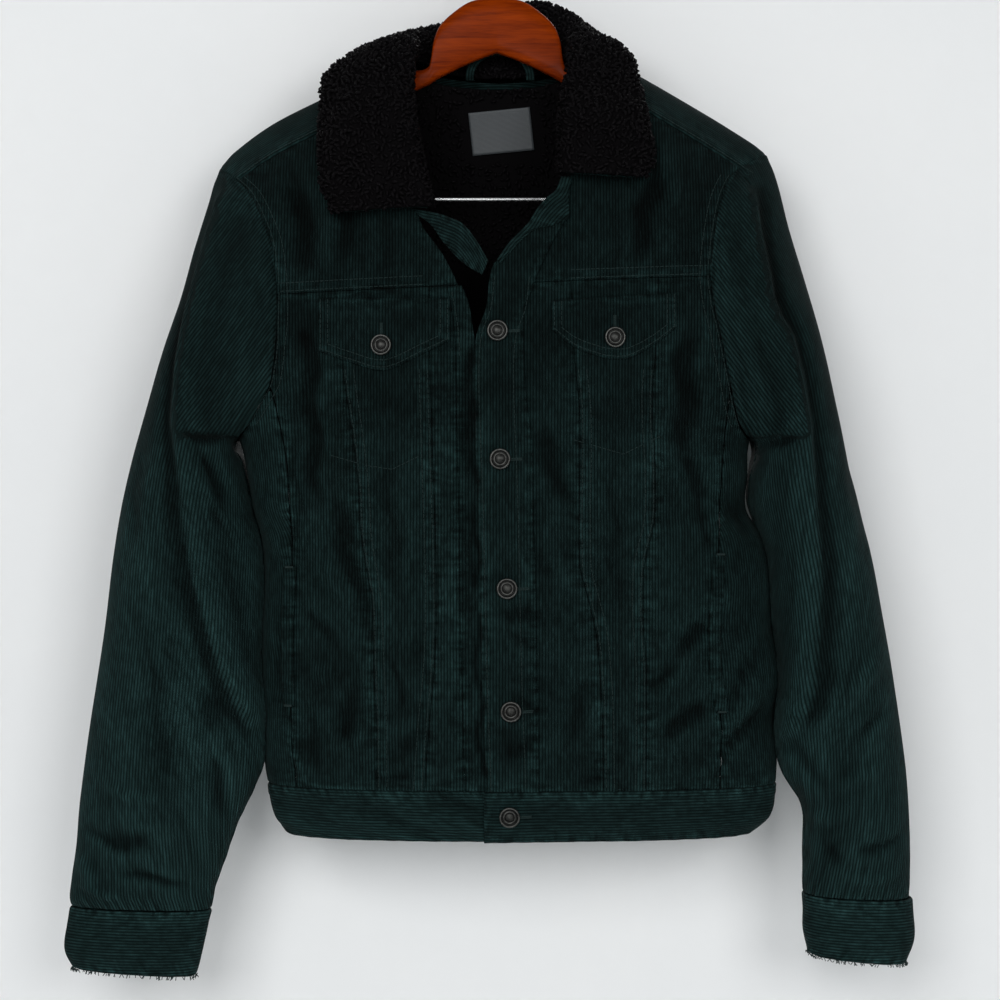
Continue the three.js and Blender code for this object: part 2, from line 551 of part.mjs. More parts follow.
// Main creases of the sleeves, in the same columns as the body's.
const SLEEVE_CREASES = table(['x0', 'z0', 'x1', 'z1', 'width', 'out', 'back'],
  [-232, -230, -248, -330, 12, 5, 0], [-248, -330, -252, -440, 12, 6, 0],
  [-252, -440, -233, -560, 11, 5, 0],
  [-233, -560, -205, -640, 11, 5, 0], [-240, -424, -212, -492, 9, -5, 0], [-222, -655, -232, -620, 10, -4, 0],
  [-224, -675, -214, -730, 9, -4, 0], [-310, -736, -272, -748, 9, -4, 0],
  [-335, -760, -322, -783, 8, 4, 0],
  [203, -215, 210, -300, 12, 5, 0], [210, -300, 232, -355, 12, 6, 0], [236, -370, 249, -500, 11, 6, 0],
  [249, -520, 246, -620, 11, 5, 0], [240, -635, 226, -660, 10, 4, 0], [300, -600, 262, -638, 10, 4, 0],
  [228, -660, 256, -700, 9, -4, 0], [248, -722, 276, -722, 9, 4, 0], [262, -745, 270, -765, 9, -4, 0],
  [-300, -420, -240, -455, 16, -6, 1], [-315, -520, -230, -545, 16, 5, 1],
  [-320, -640, -240, -620, 16, -5, 1],
  [290, -410, 240, -450, 16, -6, 1], [305, -520, 240, -545, 16, 5, 1], [320, -650, 250, -630, 16, -5, 1]);

function sleeveCrease(x, z, back) {
  let sum = 0;
  for (const c of SLEEVE_CREASES) {
    if (Boolean(c.back) !== back) continue;
    const dx = c.x1 - c.x0;
    const dz = c.z1 - c.z0;
    const t = clamp(((x - c.x0) * dx + (z - c.z0) * dz) / (dx * dx + dz * dz), 0, 1);
    const away = Math.hypot(x - c.x0 - t * dx, z - c.z0 - t * dz) / c.width;
    sum += c.out * Math.exp(-away * away);
  }
  return sum;
}

// Point of a tube of rings: t along it in rings, angle round it from its outer side by the front.
function ringPoint(rows, t, angle) {
  const keyed = rows.map((row, i) => ({ ...row, i }));
  const at = (column) => read(keyed, 'i', column, t);
  const round = (v) => Math.sign(v) * Math.abs(v) ** (2 / SLEEVE_POWER);
  const c = round(Math.cos(angle));
  const s = round(Math.sin(angle));
  const x = (at('ix') + at('ox')) / 2 + c * (at('ox') - at('ix')) / 2;
  const z = (at('iz') + at('oz')) / 2 + c * (at('oz') - at('iz')) / 2;
  return new THREE.Vector3(x, at('y') - s * at('deep'), z);
}

function armholePoint(who, sign, angle) {
  const face = Math.sin(angle) >= 0 ? 'front' : 'back';
  const [tip, under] = [SLEEVE[who][0].oz, SLEEVE[who][0].iz];
  const z = mix(under, tip, (1 + Math.cos(angle)) / 2);
  const x = armhole(who, face, z);
  const q = heightAt(ridge(x) - z);
  const a = face === 'front' ? girthAt(x, z) : 2 * sign - girthAt(x, z);
  const { p } = body(a, q, 0);
  return p.add(new THREE.Vector3(sign * ARMHOLE_GAP, 0, 0));
}

function sleevePoint(who, sign, t, angle) {
  const p = ringPoint(SLEEVE[who], t, angle);
  const weight = 1 - ease(t / HEAD_BLEND);
  if (weight === 0) return p;
  const shift = armholePoint(who, sign, angle).sub(ringPoint(SLEEVE[who], 0, angle));
  return p.addScaledVector(shift, weight);
}

// Surface of a tube: its point and outward normal, creased where asked.
function tube(point, t, angle, creased) {
  const along = point(t + 0.06, angle).sub(point(Math.max(t - 0.06, 0), angle));
  const round = point(t, angle + 0.03).sub(point(t, angle - 0.03));
  const n = along.cross(round).normalize();
  const p = point(t, angle);
  const facing = Math.abs(Math.sin(angle)) ** 0.5;
  const fade = ease(t / 2) * ease((17 - t) / 1.5);
  if (creased) p.addScaledVector(n, sleeveCrease(p.x, p.z, Math.sin(angle) < 0) * facing * fade);
  return { p, n };
}

function sleeves() {
  const AROUND = { front: [-35, 175, 14], back: [175, 325, 10] };
  for (const [who, sign] of [['right', -1], ['left', 1]]) {
    // Half of the seam gap, as an angle on a sleeve some 50 mm in radius.
    const gap = (v) => 0.4 + 2.5 * (1 - ease(v * 5));
    for (const [half, [from, to, cols]] of Object.entries(AROUND)) {
      const angle = (f, v) => mix(from + gap(v), to - gap(v), f) * Math.PI / 180;
      const point = (t, w) => sleevePoint(who, sign, t, w);
      const place = (f, v) => {
        const spot = tube(point, v * 17, angle(f, v), true);
        if (sign < 0) spot.n.negate();
        return spot;
      };
      add(`sleeve_${half}_${who}`, sheet(place, 15, cols, 0, CLOTH), COLOURS.corduroy);
    }
    const cuffPoint = (t, w) => ringPoint(CUFF[who], t, w);
    const place = (f, v) => {
      const spot = tube(cuffPoint, v * 3, f * 2 * Math.PI, false);
      if (sign < 0) spot.n.negate();
      return spot;
    };
    add(`cuff_${who}`, sheet(place, 3, 24, 1.2, 2.6, { around: true }), COLOURS.corduroy);
  }
}

// Collar

// Along the neck from the right front end to the left: the seam on the body (x, z), the top of
// the roll and the leaf's edge (x, z, and how far off the body it lies); b tells the back.
const COLLAR = table(['nx', 'nz', 'nb', 'rx', 'ry', 'rz', 'ex', 'ez', 'eb', 'clear'],
  [-60, -246, 0, -84, -86, -248, -129, -250, 0, 5], [-66, -222, 0, -92, -86, -225, -138, -228, 0, 5],
  [-74, -186, 0, -98, -80, -190, -140, -198, 0, 6], [-79, -150, 0, -100, -62, -150, -139, -170, 0, 9],
  [-80, -122, 0, -96, -24, -106, -136, -149, 0, 16], [-74, -115, 1, -82, 22, -88, -123, -145, 1, 17],
  [-44, -123, 1, -52, 44, -76, -74, -150, 1, 14], [0, -126, 1, 0, 50, -67, 0, -152, 1, 14],
  [42, -123, 1, 48, 44, -58, 66, -148, 1, 14], [64, -114, 1, 82, 20, -82, 104, -139, 1, 18],
  [68, -121, 0, 92, -22, -101, 109, -137, 0, 25.5], [63, -148, 0, 88, -58, -146, 115, -156, 0, 10],
  [59, -172, 0, 86, -77, -172, 119, -180, 0, 6], [58, -198, 0, 86, -83, -198, 123, -204, 0, 5],
  [57, -219, 0, 84, -86, -221, 117, -222, 0, 5]);
const COLLAR_PILE = 4.5;     // fleece and cloth of the collar together
const COLLAR_LEAN = 0.5;     // brings the roll of a flat leaf nearer to the neck than to its edge
const COLLAR_SET = 11.5;     // how far the fleece's face lies inside the neck seam

// The collar rises from its seam as a stand, rolls over and falls as a leaf: an arch over the
// line from seam to leaf edge, round where that line is short and flat where it is long.
function collar(f, v) {
  const keyed = COLLAR.map((row, i) => ({ ...row, i }));
  const at = (column) => read(keyed, 'i', column, f * (COLLAR.length - 1));
  const spot = (x, z, back) => body(girthAt(x, z), heightAt(ridge(x) - z) * (back > 0.5 ? -1 : 1), 0);
  const seam = spot(at('nx'), at('nz'), at('nb')).p;
  const inward = new THREE.Vector3(-seam.x, -0.45 * seam.y, 0).normalize();
  seam.addScaledVector(inward, COLLAR_SET).add(new THREE.Vector3(0, 0, 2));
  const leaf = spot(at('ex'), at('ez'), at('eb'));
  const edge = leaf.p.addScaledVector(leaf.n, at('clear'));
  const chord = edge.clone().sub(seam);
  const reach = chord.length() / 2;
  const middle = seam.clone().add(edge).multiplyScalar(0.5);
  const rise = new THREE.Vector3(at('rx'), at('ry'), at('rz')).sub(middle);
  const high = rise.length();
  rise.divideScalar(high);
  const round = Math.min(high, reach);
  const straight = high - round;
  const bend = Math.PI * (reach + round) / 2;
  const length = 2 * straight + bend;
  const s = v * length;
  const w = Math.PI * clamp((s - straight) / bend, 0, 1);
  const lift = straight - Math.max(0, straight - s) - Math.max(0, s - straight - bend);
  const across = ((1 - Math.cos(w)) / 2) ** (1 + COLLAR_LEAN * clamp(1.5 - high / reach, 0, 1));
  return seam.addScaledVector(chord, across).addScaledVector(rise, lift + round * Math.sin(w));
}

// The undercollar lies close below the fleece, and further off where the roll turns sharply
// over the left shoulder.
const SHARP_TURN = 0.66;
const underGap = (f, v) => {
  const off = (v - SHARP_TURN) / 0.14;
  return -COLLAR_PILE - 1.15 - 2.28 * ease(f * 2) * Math.exp(-off * off);
};

function collarSpot(f, v) {
  const along = collar(Math.min(f + 0.01, 1), v).sub(collar(Math.max(f - 0.01, 0), v));
  const over = collar(f, Math.min(v + 0.02, 1)).sub(collar(f, Math.max(v - 0.02, 0)));
  return { p: collar(f, v), n: along.cross(over).normalize() };
}

// Lining, label and loop inside

function linings() {
  const depth = (f, v) => -3 - 10 * ease(Math.min(v, 1 - v) * 11);
  const depthBack = (f, v) => -3 - 10 * ease(Math.min((1 - v) * 11, v * 11 + 1.3 - 7 * Math.abs(f - 0.5)));
  const bottom = () => WAIST_TOP + 2;
  const back = (rows, inset) => onBack(rows, inset, -1);
  const edge = (rows, inset) => (z) => back(rows, inset)(Math.min(z, -441));
  const neck = (x) => read(BACK_NECK, 'x', 'z', clamp(x, -77, 73)) - 3;
  const topOf = (x) => mix(neck(x), ridge(x) - 22, ease((Math.abs(x) - 70) / 30));
  const armed = (who, s, rows) => (z) => {
    if (z > -424) return -2 - girthAt(armhole(who, 'back', z) - s * 3, z);
    return edge(rows, -s)(z);
  };
  const sides = [armed('right', -1, SEAM.backSideRight), armed('left', 1, SEAM.backSideLeft)];
  add('lining_back', sheet(between(...sides, topOf, bottom, 0), 11, 10, depthBack, 4), COLOURS.lining);
  for (const [who, sign] of [['right', -1], ['left', 1]]) {
    const outer = (z) => (z > -424 ? girthAt(armhole(who, 'front', z) - sign * 3, z)
      : girthAt(read(SEAM[`${who}Side`], 'z', 'x', z) - sign * 1, z));
    const inner = onFront(who === 'right' ? SEAM.rightPlacket : SEAM.leftPlacket, sign * 6);
    const open = (z) => (z > -306 ? onFront(SEAM[`${who}Neck`], sign * 4)(z) : inner(z));
    add(`lining_${who}`, sheet(between(open, outer, (x) => shoulderSeam(x) - 4, bottom, 0),
      11, 6, depth, 4), COLOURS.lining);
  }
}

// Hard pieces

// Rod of a round section along points, closed by flat ends.
function rod(path, radius, sides) {
  const points = [];
  const triangles = [];
  path.forEach((p, i) => {
    const ahead = path[Math.min(i + 1, path.length - 1)].clone().sub(path[Math.max(i - 1, 0)]).normalize();
    const level = new THREE.Vector3(0, 1, 0);
    const other = ahead.clone().cross(level).normalize();
    for (let k = 0; k < sides; k += 1) {
      const w = 2 * Math.PI * k / sides;
      const spoke = level.clone().multiplyScalar(radius * Math.cos(w));
      points.push(p.clone().add(spoke).addScaledVector(other, radius * Math.sin(w)));
    }
  });
  const last = (path.length - 1) * sides;
  for (let i = 0; i < path.length - 1; i += 1) {
    for (let k = 0; k < sides; k += 1) {
      const [a, b] = [i * sides + k, i * sides + (k + 1) % sides];
      triangles.push([a, b, b + sides], [a, b + sides, a + sides]);
    }
  }
  for (let k = 1; k < sides - 1; k += 1) {
    triangles.push([0, k + 1, k], [last, last + k, last + k + 1]);
  }
  return solid(points, triangles);
}

const arc = (cx, cz, radius, from, to, steps) => Array.from({ length: steps + 1 }, (_, i) => {
  const w = mix(from, to, i / steps) * Math.PI / 180;
  return new THREE.Vector3(cx + radius * Math.cos(w), 0, cz + radius * Math.sin(w));
});

// Wooden hanger: a board whose outline is its top and bottom edge by distance from the middle.
const BOARD = table(['x', 'top', 'bottom'],
  [0, -62, -107.5], [20, -65, -115], [33, -72.5, -121], [47, -86, -128], [52, -99, -131],
  [55, -118, -133], [72, -123, -141], [100, -136, -154], [140, -160, -177], [180, -187, -201],
  [204, -205, -214], [212, -211.5, -214]);
const BOARD_THICK = 12;
const BAR_Z = -227.5;
const BAR_X = 182;
const HOOK_WIRE = 2;
const HOOK_RADIUS = 16;

function hangerBoard() {
  const xs = [...[...BOARD].reverse().map((row) => -row.x), ...BOARD.slice(1).map((row) => row.x)];
  const place = (level) => xs.map((x) => {
    const [top, bottom] = ['top', 'bottom'].map((n) => read(BOARD, 'x', n, Math.abs(x)));
    const rounding = [0.72, 1, 1, 0.72][level];
    return { x, z: mix(top, bottom, [0, 0.14, 0.86, 1][level]), y: rounding * BOARD_THICK / 2 };
  });
  const rows = [0, 1, 2, 3].map(place);
  const front = rows.map((row) => row.map(({ x, y, z }) => new THREE.Vector3(x, -y, z)));
  const back = rows.map((row) => row.map(({ x, y, z }) => new THREE.Vector3(x, y, z)));
  return wall(front, back);
}

// Hook in the shape of a question mark; the inside top of its crook is the origin.
function hook() {
  const r = HOOK_RADIUS;
  const top = HOOK_WIRE - r;
  const crook = arc(0, top, r, 200, -35, 12);
  const turn = arc(21, top - 24.5, 13, 128, 180, 5).map((p) => p.add(new THREE.Vector3(-8, 0, 0)));
  const stem = [new THREE.Vector3(0, 0, -61.7)];
  return rod([...crook, ...turn, ...stem], HOOK_WIRE, 10);
}

function trouserBar() {
  const bend = 8;
  const up = new THREE.Vector3(-BAR_X, 0, -202.9);
  const left = arc(-BAR_X + bend, BAR_Z + bend, bend, 180, 270, 4);
  const right = arc(BAR_X - bend, BAR_Z + bend, bend, 270, 360, 4);
  return rod([up, ...left, ...right, new THREE.Vector3(BAR_X, 0, -202.9)], 1.5, 10);
}

// Buttons: a shallow dish with a rim, lathed and turned to face along the cloth's normal.
const BUTTON_RADIUS = 8.2;
const BUTTONS = table(['x', 'z'], [0.5, -342], [2.5, -442], [8, -543], [11, -639], [10, -722]);
const FLAP_BUTTONS = { right: { x: -90, z: -353 }, left: { x: 92, z: -347 } };

function button(x, z, raised) {
  const r = BUTTON_RADIUS;
  const profile = [[0, 0], [r * 0.62, 0], [r, 1.4], [r, 2.6], [r * 0.84, 3.3], [r * 0.7, 2.5], [0, 2.9]];
  const geometry = new THREE.LatheGeometry(profile.map(([px, py]) => new THREE.Vector2(px, py)), 12);
  const { p, n } = body(girthAt(x, z), heightAt(ridge(x) - z));
  const turn = new THREE.Quaternion().setFromUnitVectors(new THREE.Vector3(0, 1, 0), n);
  geometry.applyQuaternion(turn);
  const at = p.addScaledVector(n, raised + 0.3);
  geometry.translate(at.x, at.y, at.z);
  return geometry;
}

// Bare label sewn to the lining below the back neck.
const LABEL_DEPTH = -18.2;

function label() {
  const corners = { left: -24.5, right: 27.5, top: -146, bottom: -182 };
  const place = (f, v) => {
    const x = mix(corners.left, corners.right, f) + 4 * v;
    const z = mix(corners.top, corners.bottom, v) + 5 * (f - 0.5);
    return body(girthAt(x, z), -heightAt(ridge(x) - z), 0);
  };
  return sheet(place, 2, 4, LABEL_DEPTH, 1);
}

// Loop for a peg: a band of cloth arched over the back neck seam.
function loop() {
  const high = 24.2;
  const place = (f, v) => {
    const w = mix(0, Math.PI, f);
    const middle = new THREE.Vector3(2.5 - 25 * Math.cos(w), 7.3, -128.2 + high * Math.sin(w) ** 0.8);
    const out = new THREE.Vector3(-Math.cos(w), 0, Math.sin(w)).normalize();
    return { p: middle.addScaledVector(out, mix(-3.5, 3.5, v)), n: new THREE.Vector3(0, -1, 0) };
  };
  return sheet(place, 1, 12, 1, 2);
}

fronts();
add('side_panel_right', sheet(sidePanel('right', -1), 14, 6, 0, CLOTH), COLOURS.corduroy);
add('side_panel_left', sheet(sidePanel('left', 1), 14, 6, 0, CLOTH), COLOURS.corduroy);
plackets();
add('turned_facing_right', turnedFacing(FACING.right, 8, 2), COLOURS.corduroy);
add('turned_facing_left', turnedFacing(FACING.left, 10, 2 * ON + 3.4), COLOURS.corduroy);
for (const who of ['right', 'left']) {
  add(`pocket_flap_${who}`, pocketFlap(who), COLOURS.corduroy);
  add(`welt_${who}`, welt(who), COLOURS.corduroy);
}
add('back_yoke', backYoke(), COLOURS.corduroy);
backs();
add('waistband', waistband(), COLOURS.corduroy);
sleeves();
add('sherpa_collar', sheet((f, v) => collarSpot(v, f), 26, 8, 0, COLLAR_PILE), COLOURS.sherpa);
add('undercollar', sheet((f, v) => collarSpot(v, mix(1 / 8, 7 / 8, f)), 26, 6, underGap, 1),
  COLOURS.corduroy);
linings();
add('neck_label', label(), COLOURS.label, 0.8);
add('hanging_loop', loop(), COLOURS.corduroy);
BUTTONS.forEach(({ x, z }, i) => {
  add(`front_button_${i + 1}`, button(x, z, ON + 2.3), COLOURS.metal, 0.35, 1);
});
for (const [who, { x, z }] of Object.entries(FLAP_BUTTONS)) {
  add(`flap_button_${who}`, button(x, z, ON + 2.1), COLOURS.metal, 0.35, 1);
}
add('hanger_board', hangerBoard(), COLOURS.wood, 0.3);
add('hanger_hook', hook(), COLOURS.steel, 0.25, 1);
add('trouser_bar', trouserBar(), COLOURS.steel, 0.25, 1);

export default parts;
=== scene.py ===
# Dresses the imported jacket: corduroy, fleece, sewing, buttons and hanger, each in the CAD's frame.
# Sizes are in millimetres and become metres when a mesh is made. "right" and "left" are the
# wearer's, and the front faces -Y.
import math

import bpy
import numpy as np
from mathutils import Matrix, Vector


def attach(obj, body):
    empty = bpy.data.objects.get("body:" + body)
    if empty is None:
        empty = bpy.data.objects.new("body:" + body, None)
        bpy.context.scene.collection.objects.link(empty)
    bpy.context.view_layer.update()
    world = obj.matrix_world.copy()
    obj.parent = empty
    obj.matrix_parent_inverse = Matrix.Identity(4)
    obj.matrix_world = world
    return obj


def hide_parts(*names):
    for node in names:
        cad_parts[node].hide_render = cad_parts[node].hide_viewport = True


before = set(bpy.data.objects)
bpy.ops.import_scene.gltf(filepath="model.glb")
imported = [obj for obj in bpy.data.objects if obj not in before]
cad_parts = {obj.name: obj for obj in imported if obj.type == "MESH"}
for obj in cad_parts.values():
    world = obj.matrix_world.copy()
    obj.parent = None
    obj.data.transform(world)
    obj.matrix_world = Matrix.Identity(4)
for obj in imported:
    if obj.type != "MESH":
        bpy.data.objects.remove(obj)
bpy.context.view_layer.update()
MM = 0.001

# Camera
# It stands level with the middle of the jacket, square to it, as a picture taken at arm's reach.
CAMERA_AWAY = 1500.0
VIEW_ACROSS = 820.0          # width that it sees in the plane of the hanger
VIEW_MIDDLE = (2.5, -474.0)
camera_data = bpy.data.cameras.new("camera")
camera_data.lens = camera_data.sensor_width * CAMERA_AWAY / VIEW_ACROSS
camera = bpy.data.objects.new("camera", camera_data)
camera.location = Vector((VIEW_MIDDLE[0], -CAMERA_AWAY, VIEW_MIDDLE[1])) * MM
camera.rotation_euler = (math.pi / 2, 0, 0)
bpy.context.scene.collection.objects.link(camera)
bpy.context.scene.camera = camera


# Room and light
# A matt white wall close behind the jacket, seen only from its front, and a pale floor well
# below. Two wide soft lamps stand in front, the stronger one high on the left, and one behind.
def linear(hex_colour):
    """Linear colour of an sRGB hex value, with alpha."""
    parts = [int(hex_colour[i:i + 2], 16) / 255 for i in (1, 3, 5)]
    return tuple(c / 12.92 if c <= 0.04045 else ((c + 0.055) / 1.055) ** 2.4 for c in parts) + (1,)


def add_node(tree, kind, inputs=(), **settings):
    """Adds a node, with its settings, and its sockets' values or links by name or number."""
    made = tree.nodes.new(kind)
    for name, value in settings.items():
        setattr(made, name, value)
    for key, value in dict(inputs).items():
        if isinstance(value, bpy.types.NodeSocket):
            tree.links.new(value, made.inputs[key])
        else:
            made.inputs[key].default_value = value
    return made


def new_material(name):
    """An empty node material and its tree."""
    made = bpy.data.materials.new(name)
    made.use_nodes = True
    made.node_tree.nodes.clear()
    return made, made.node_tree


def painted_plaster():
    """Matt white emulsion on plaster, faintly uneven; clear from behind."""
    made, tree = new_material("painted_plaster")
    place = add_node(tree, "ShaderNodeTexCoord")
    mottle = add_node(tree, "ShaderNodeTexNoise", {"Vector": place.outputs["Object"], "Scale": 6.0})
    paint = add_node(tree, "ShaderNodeMix", {0: mottle.outputs["Fac"], 6: linear("#e9ebec"),
                                             7: linear("#eeefef")}, data_type="RGBA")
    front = add_node(tree, "ShaderNodeBsdfDiffuse", {"Color": paint.outputs[2]})
    behind = add_node(tree, "ShaderNodeBsdfTransparent")
    face = add_node(tree, "ShaderNodeNewGeometry")
    either = add_node(tree, "ShaderNodeMixShader", {0: face.outputs["Backfacing"], 1: front.outputs[0],
                                                    2: behind.outputs[0]})
    add_node(tree, "ShaderNodeOutputMaterial", {"Surface": either.outputs[0]})
    return made


def flat_stage(name, corners, material):
    """One rectangle of the room."""
    mesh = bpy.data.meshes.new(name)
    mesh.from_pydata([Vector(c) * MM for c in corners], [], [(0, 1, 2, 3)])
    mesh.materials.append(material)
    made = bpy.data.objects.new(name, mesh)
    bpy.context.scene.collection.objects.link(made)
    return made


WALL_Y = 66.0
FLOOR_Z = -1060.0
ROOM = 4000.0
plaster = painted_plaster()
wall = flat_stage("wall", [(-ROOM, WALL_Y, FLOOR_Z), (ROOM, WALL_Y, FLOOR_Z), (ROOM, WALL_Y, ROOM),
                          (-ROOM, WALL_Y, ROOM)], plaster)
flat_stage("floor", [(-ROOM, -ROOM, FLOOR_Z), (ROOM, -ROOM, FLOOR_Z), (ROOM, ROOM, FLOOR_Z),
                     (-ROOM, ROOM, FLOOR_Z)], plaster)


def soft_lamp(name, place, towards, width, power):
    """A square soft lamp at a place, facing a point."""
    data = bpy.data.lights.new(name, "AREA")
    data.size = width * MM
    data.energy = power
    made = bpy.data.objects.new(name, data)
    made.location = Vector(place) * MM
    made.rotation_euler = (Vector(towards) - Vector(place)).to_track_quat("-Z", "Y").to_euler()
    bpy.context.scene.collection.objects.link(made)
    return made


soft_lamp("window_lamp", (-700, -2300, 250), (0, 0, -450), 1300, 30)
soft_lamp("room_lamp", (1000, -2300, 0), (0, 0, -450), 1000, 17)
back_lamp = soft_lamp("back_lamp", (600, 2600, 700), (0, 0, -450), 1800, 60)
# The back lamp lights the jacket's back through the wall.
see_through = bpy.data.collections.new("see_through")
see_through.objects.link(wall)
back_lamp.light_linking.blocker_collection = see_through
see_through.collection_objects[0].light_linking.link_state = "EXCLUDE"
world = bpy.data.worlds.new("room_air")
world.use_nodes = True
world.node_tree.nodes["Background"].inputs["Color"].default_value = linear("#eef1f4")
world.node_tree.nodes["Background"].inputs["Strength"].default_value = 0.2
bpy.context.scene.world = world
bpy.context.scene.view_settings.view_transform = "Standard"

# The body's surface
# All panels of the body lie on one surface: a boxy tube that rounds over the shoulders' ridge.
# These are the sizes of the CAD model, which the cloth follows with finer creases.
RIDGE_DROP = 140.0           # height over which a shoulder rounds from its ridge to full depth
RIDGE_POWER = 1.7            # how pointed the ridge is
GIRTH_POWER = 2.6            # how boxy the body is across
BODY_CHART = 400.0           # height that one step of q covers below the rounding
WAIST_TOP = -703.0
HEM = -743.5
SHOULDER_SEAM = 34.0         # how far the back yoke comes forward over the ridge
BACK_SEAM = -288.0
ON = 0.9                     # between a panel and what is sewn on it
ARMHOLE_GAP = -0.4
HALF = 0.15                  # half of the gap at a seam
CLOTH = 1.8
QUARTER = math.pi / 2


def table(names, *rows):
    """Rows of sizes as named columns."""
    return {name: np.array(column, float) for name, column in zip(names.split(), zip(*rows))}


def read(rows, key, column, at):
    """Smooth reading of a column at a key, flat past the ends."""
    keys, values = rows[key], rows[column]
    if keys[0] > keys[-1]:
        keys, values = keys[::-1], values[::-1]
    order = np.arange(len(keys))
    before, after = np.maximum(order - 1, 0), np.minimum(order + 1, len(keys) - 1)
    slopes = (values[after] - values[before]) / (keys[after] - keys[before])
    at = np.clip(at, keys[0], keys[-1])
    i = np.clip(np.searchsorted(keys, at, side="right") - 1, 0, len(keys) - 2)
    span = keys[i + 1] - keys[i]
    t = (at - keys[i]) / span
    return (values[i] * (1 + 2 * t) * (1 - t) ** 2 + slopes[i] * span * t * (1 - t) ** 2
            + values[i + 1] * t * t * (3 - 2 * t) - slopes[i + 1] * span * t * t * (1 - t))


def mix(a, b, t):
    return a + (b - a) * t


def ease(t):
    t = np.clip(t, 0, 1)
    return t * t * (3 - 2 * t)


SHOULDER_LINE = table("x z", [-262, -240], [-227, -202.6], [-214, -188.5], [-183, -166], [-138, -143],
                      [-100, -122.5], [-80, -111.5], [-40, -100], [0, -96], [40, -98], [80, -107],
                      [117, -127], [150, -146], [190, -170], [220.6, -191], [262, -232])
SIDES = table(
    "z right left front back middle",
    [-60, -255, 255, 66, 44, 0], [-200, -258, 256, 67, 46, -1], [-300, -256, 254, 68, 48, -3],
    [-360, -246, 242, 67, 47, -5], [-400, -226, 222, 66, 46, -6], [-424, -210, 206, 66, 45, -7],
    [-455, -202.5, 203.5, 65, 44, -8], [-482, -198, 202.5, 64, 43, -8], [-505, -191.5, 216.5, 64, 42, -8],
    [-540, -189.5, 222.5, 63, 41, -8], [-575, -192, 223.5, 63, 40, -8], [-600, -192, 228.5, 62, 39, -8],
    [-620, -192, 230.5, 61, 38, -8], [-645, -191, 225.5, 60, 37, -8], [-680, -189.5, 227.5, 58, 36, -8],
    [-703, -186, 226.5, 57, 35, -8], [-730, -180, 222, 55, 33, -8], [-744, -171, 206, 52, 31, -8])
# The armholes as x at each height.
ARMHOLE = {
    "right": {
        "front": table("z x", [-202.6, -227], [-225, -201], [-243, -190], [-270, -179], [-307, -174],
                       [-345, -174.5], [-381, -180], [-394, -187], [-411, -198], [-424.5, -211]),
        "back": table("z x", [-202.6, -227], [-225, -213], [-250, -202], [-290, -194], [-340, -193],
                      [-385, -197], [-411, -204], [-424.5, -211])},
    "left": {
        "front": table("z x", [-192, 220.6], [-209, 193.5], [-226, 182], [-249, 175], [-292, 169],
                       [-317, 171], [-345, 177.5], [-381, 185.4], [-401, 190], [-416, 196],
                       [-425.5, 206.5]),
        "back": table("z x", [-192, 220.6], [-215, 206], [-240, 196], [-285, 189], [-335, 189],
                      [-385, 193], [-411, 199], [-425.5, 206.5])},
}
# Seams that run down the body, as x at each height.
SEAM = {
    "neck_right": table("z x", [-100, -77], [-113, -78], [-145, -80], [-180, -76], [-215, -68],
                        [-243, -62], [-258, -59], [-279, -44], [-293, -36], [-309, -29]),
    "neck_left": table("z x", [-100, 71.5], [-113, 72.5], [-142, 68], [-170, 61], [-196, 59],
                       [-219, 57], [-232, 49], [-252, 47], [-279, 32], [-297, 23], [-306, 17]),
    "placket_right": table("z x", [-306, -39], [-343, -33], [-380, -32], [-474, -30], [-552, -29],
                           [-630, -27], [-703, -25]),
    "edge_right": table("z x", [-306, -27.5], [-320, -22], [-353, -16], [-380, -6], [-420, 9],
                        [-703, 10]),
    "edge_left": table("z x", [-255, 20], [-291, -3], [-324, -8.5], [-346, -16], [-380, -18],
                       [-474, -14.7], [-552, -13], [-630, -11], [-703, -8.5], [-744, -10]),
    "placket_left": table("z x", [-252, 55], [-279, 40], [-297, 32], [-313, 26], [-324, 21.3],
                          [-343, 20.5], [-395, 23], [-432, 27.6], [-489, 28.3], [-537, 30],
                          [-703, 33]),
    "inner_right": table("z x", [-306, -53], [-377, -52], [-474, -49], [-549, -47], [-598, -48.5],
                         [-649, -53], [-703, -57]),
    "outer_right": table("z x", [-306, -127], [-377, -120], [-432, -112], [-472, -108], [-499, -107],
                         [-549, -99.5], [-598, -97], [-649, -95], [-703, -95]),
    "inner_left": table("z x", [-303, 58], [-364, 61], [-407, 65], [-524, 65], [-549, 71], [-574, 77],
                        [-598, 80], [-636, 82.5], [-703, 84]),
    "outer_left": table("z x", [-300, 127], [-357, 124.6], [-395, 122], [-457, 124.6], [-489, 124],
                        [-524, 116], [-562, 114.5], [-611, 117.5], [-703, 117.5]),
    "side_right": table("z x", [-381, -180], [-400, -175], [-441, -167], [-474, -165], [-525, -163],
                        [-575, -165.5], [-639, -164.5], [-703, -160]),
    "side_left": table("z x", [-381, 185.4], [-400, 184], [-441, 180], [-517, 175.5], [-595, 171],
                       [-641, 177], [-703, 177]),
    "back_right": table("z x", [-288, -104], [-420, -92], [-560, -76], [-703, -68]),
    "back_left": table("z x", [-288, 104], [-420, 94], [-560, 82], [-703, 76]),
    "back_side_right": table("z x", [-381, -196], [-441, -178], [-525, -168], [-639, -166],
                             [-703, -162]),
    "back_side_left": table("z x", [-381, 192], [-441, 184], [-525, 186], [-639, 188], [-703, 186]),
}
SEAM["under_left"] = {"z": SEAM["placket_left"]["z"], "x": SEAM["placket_left"]["x"] - 9}
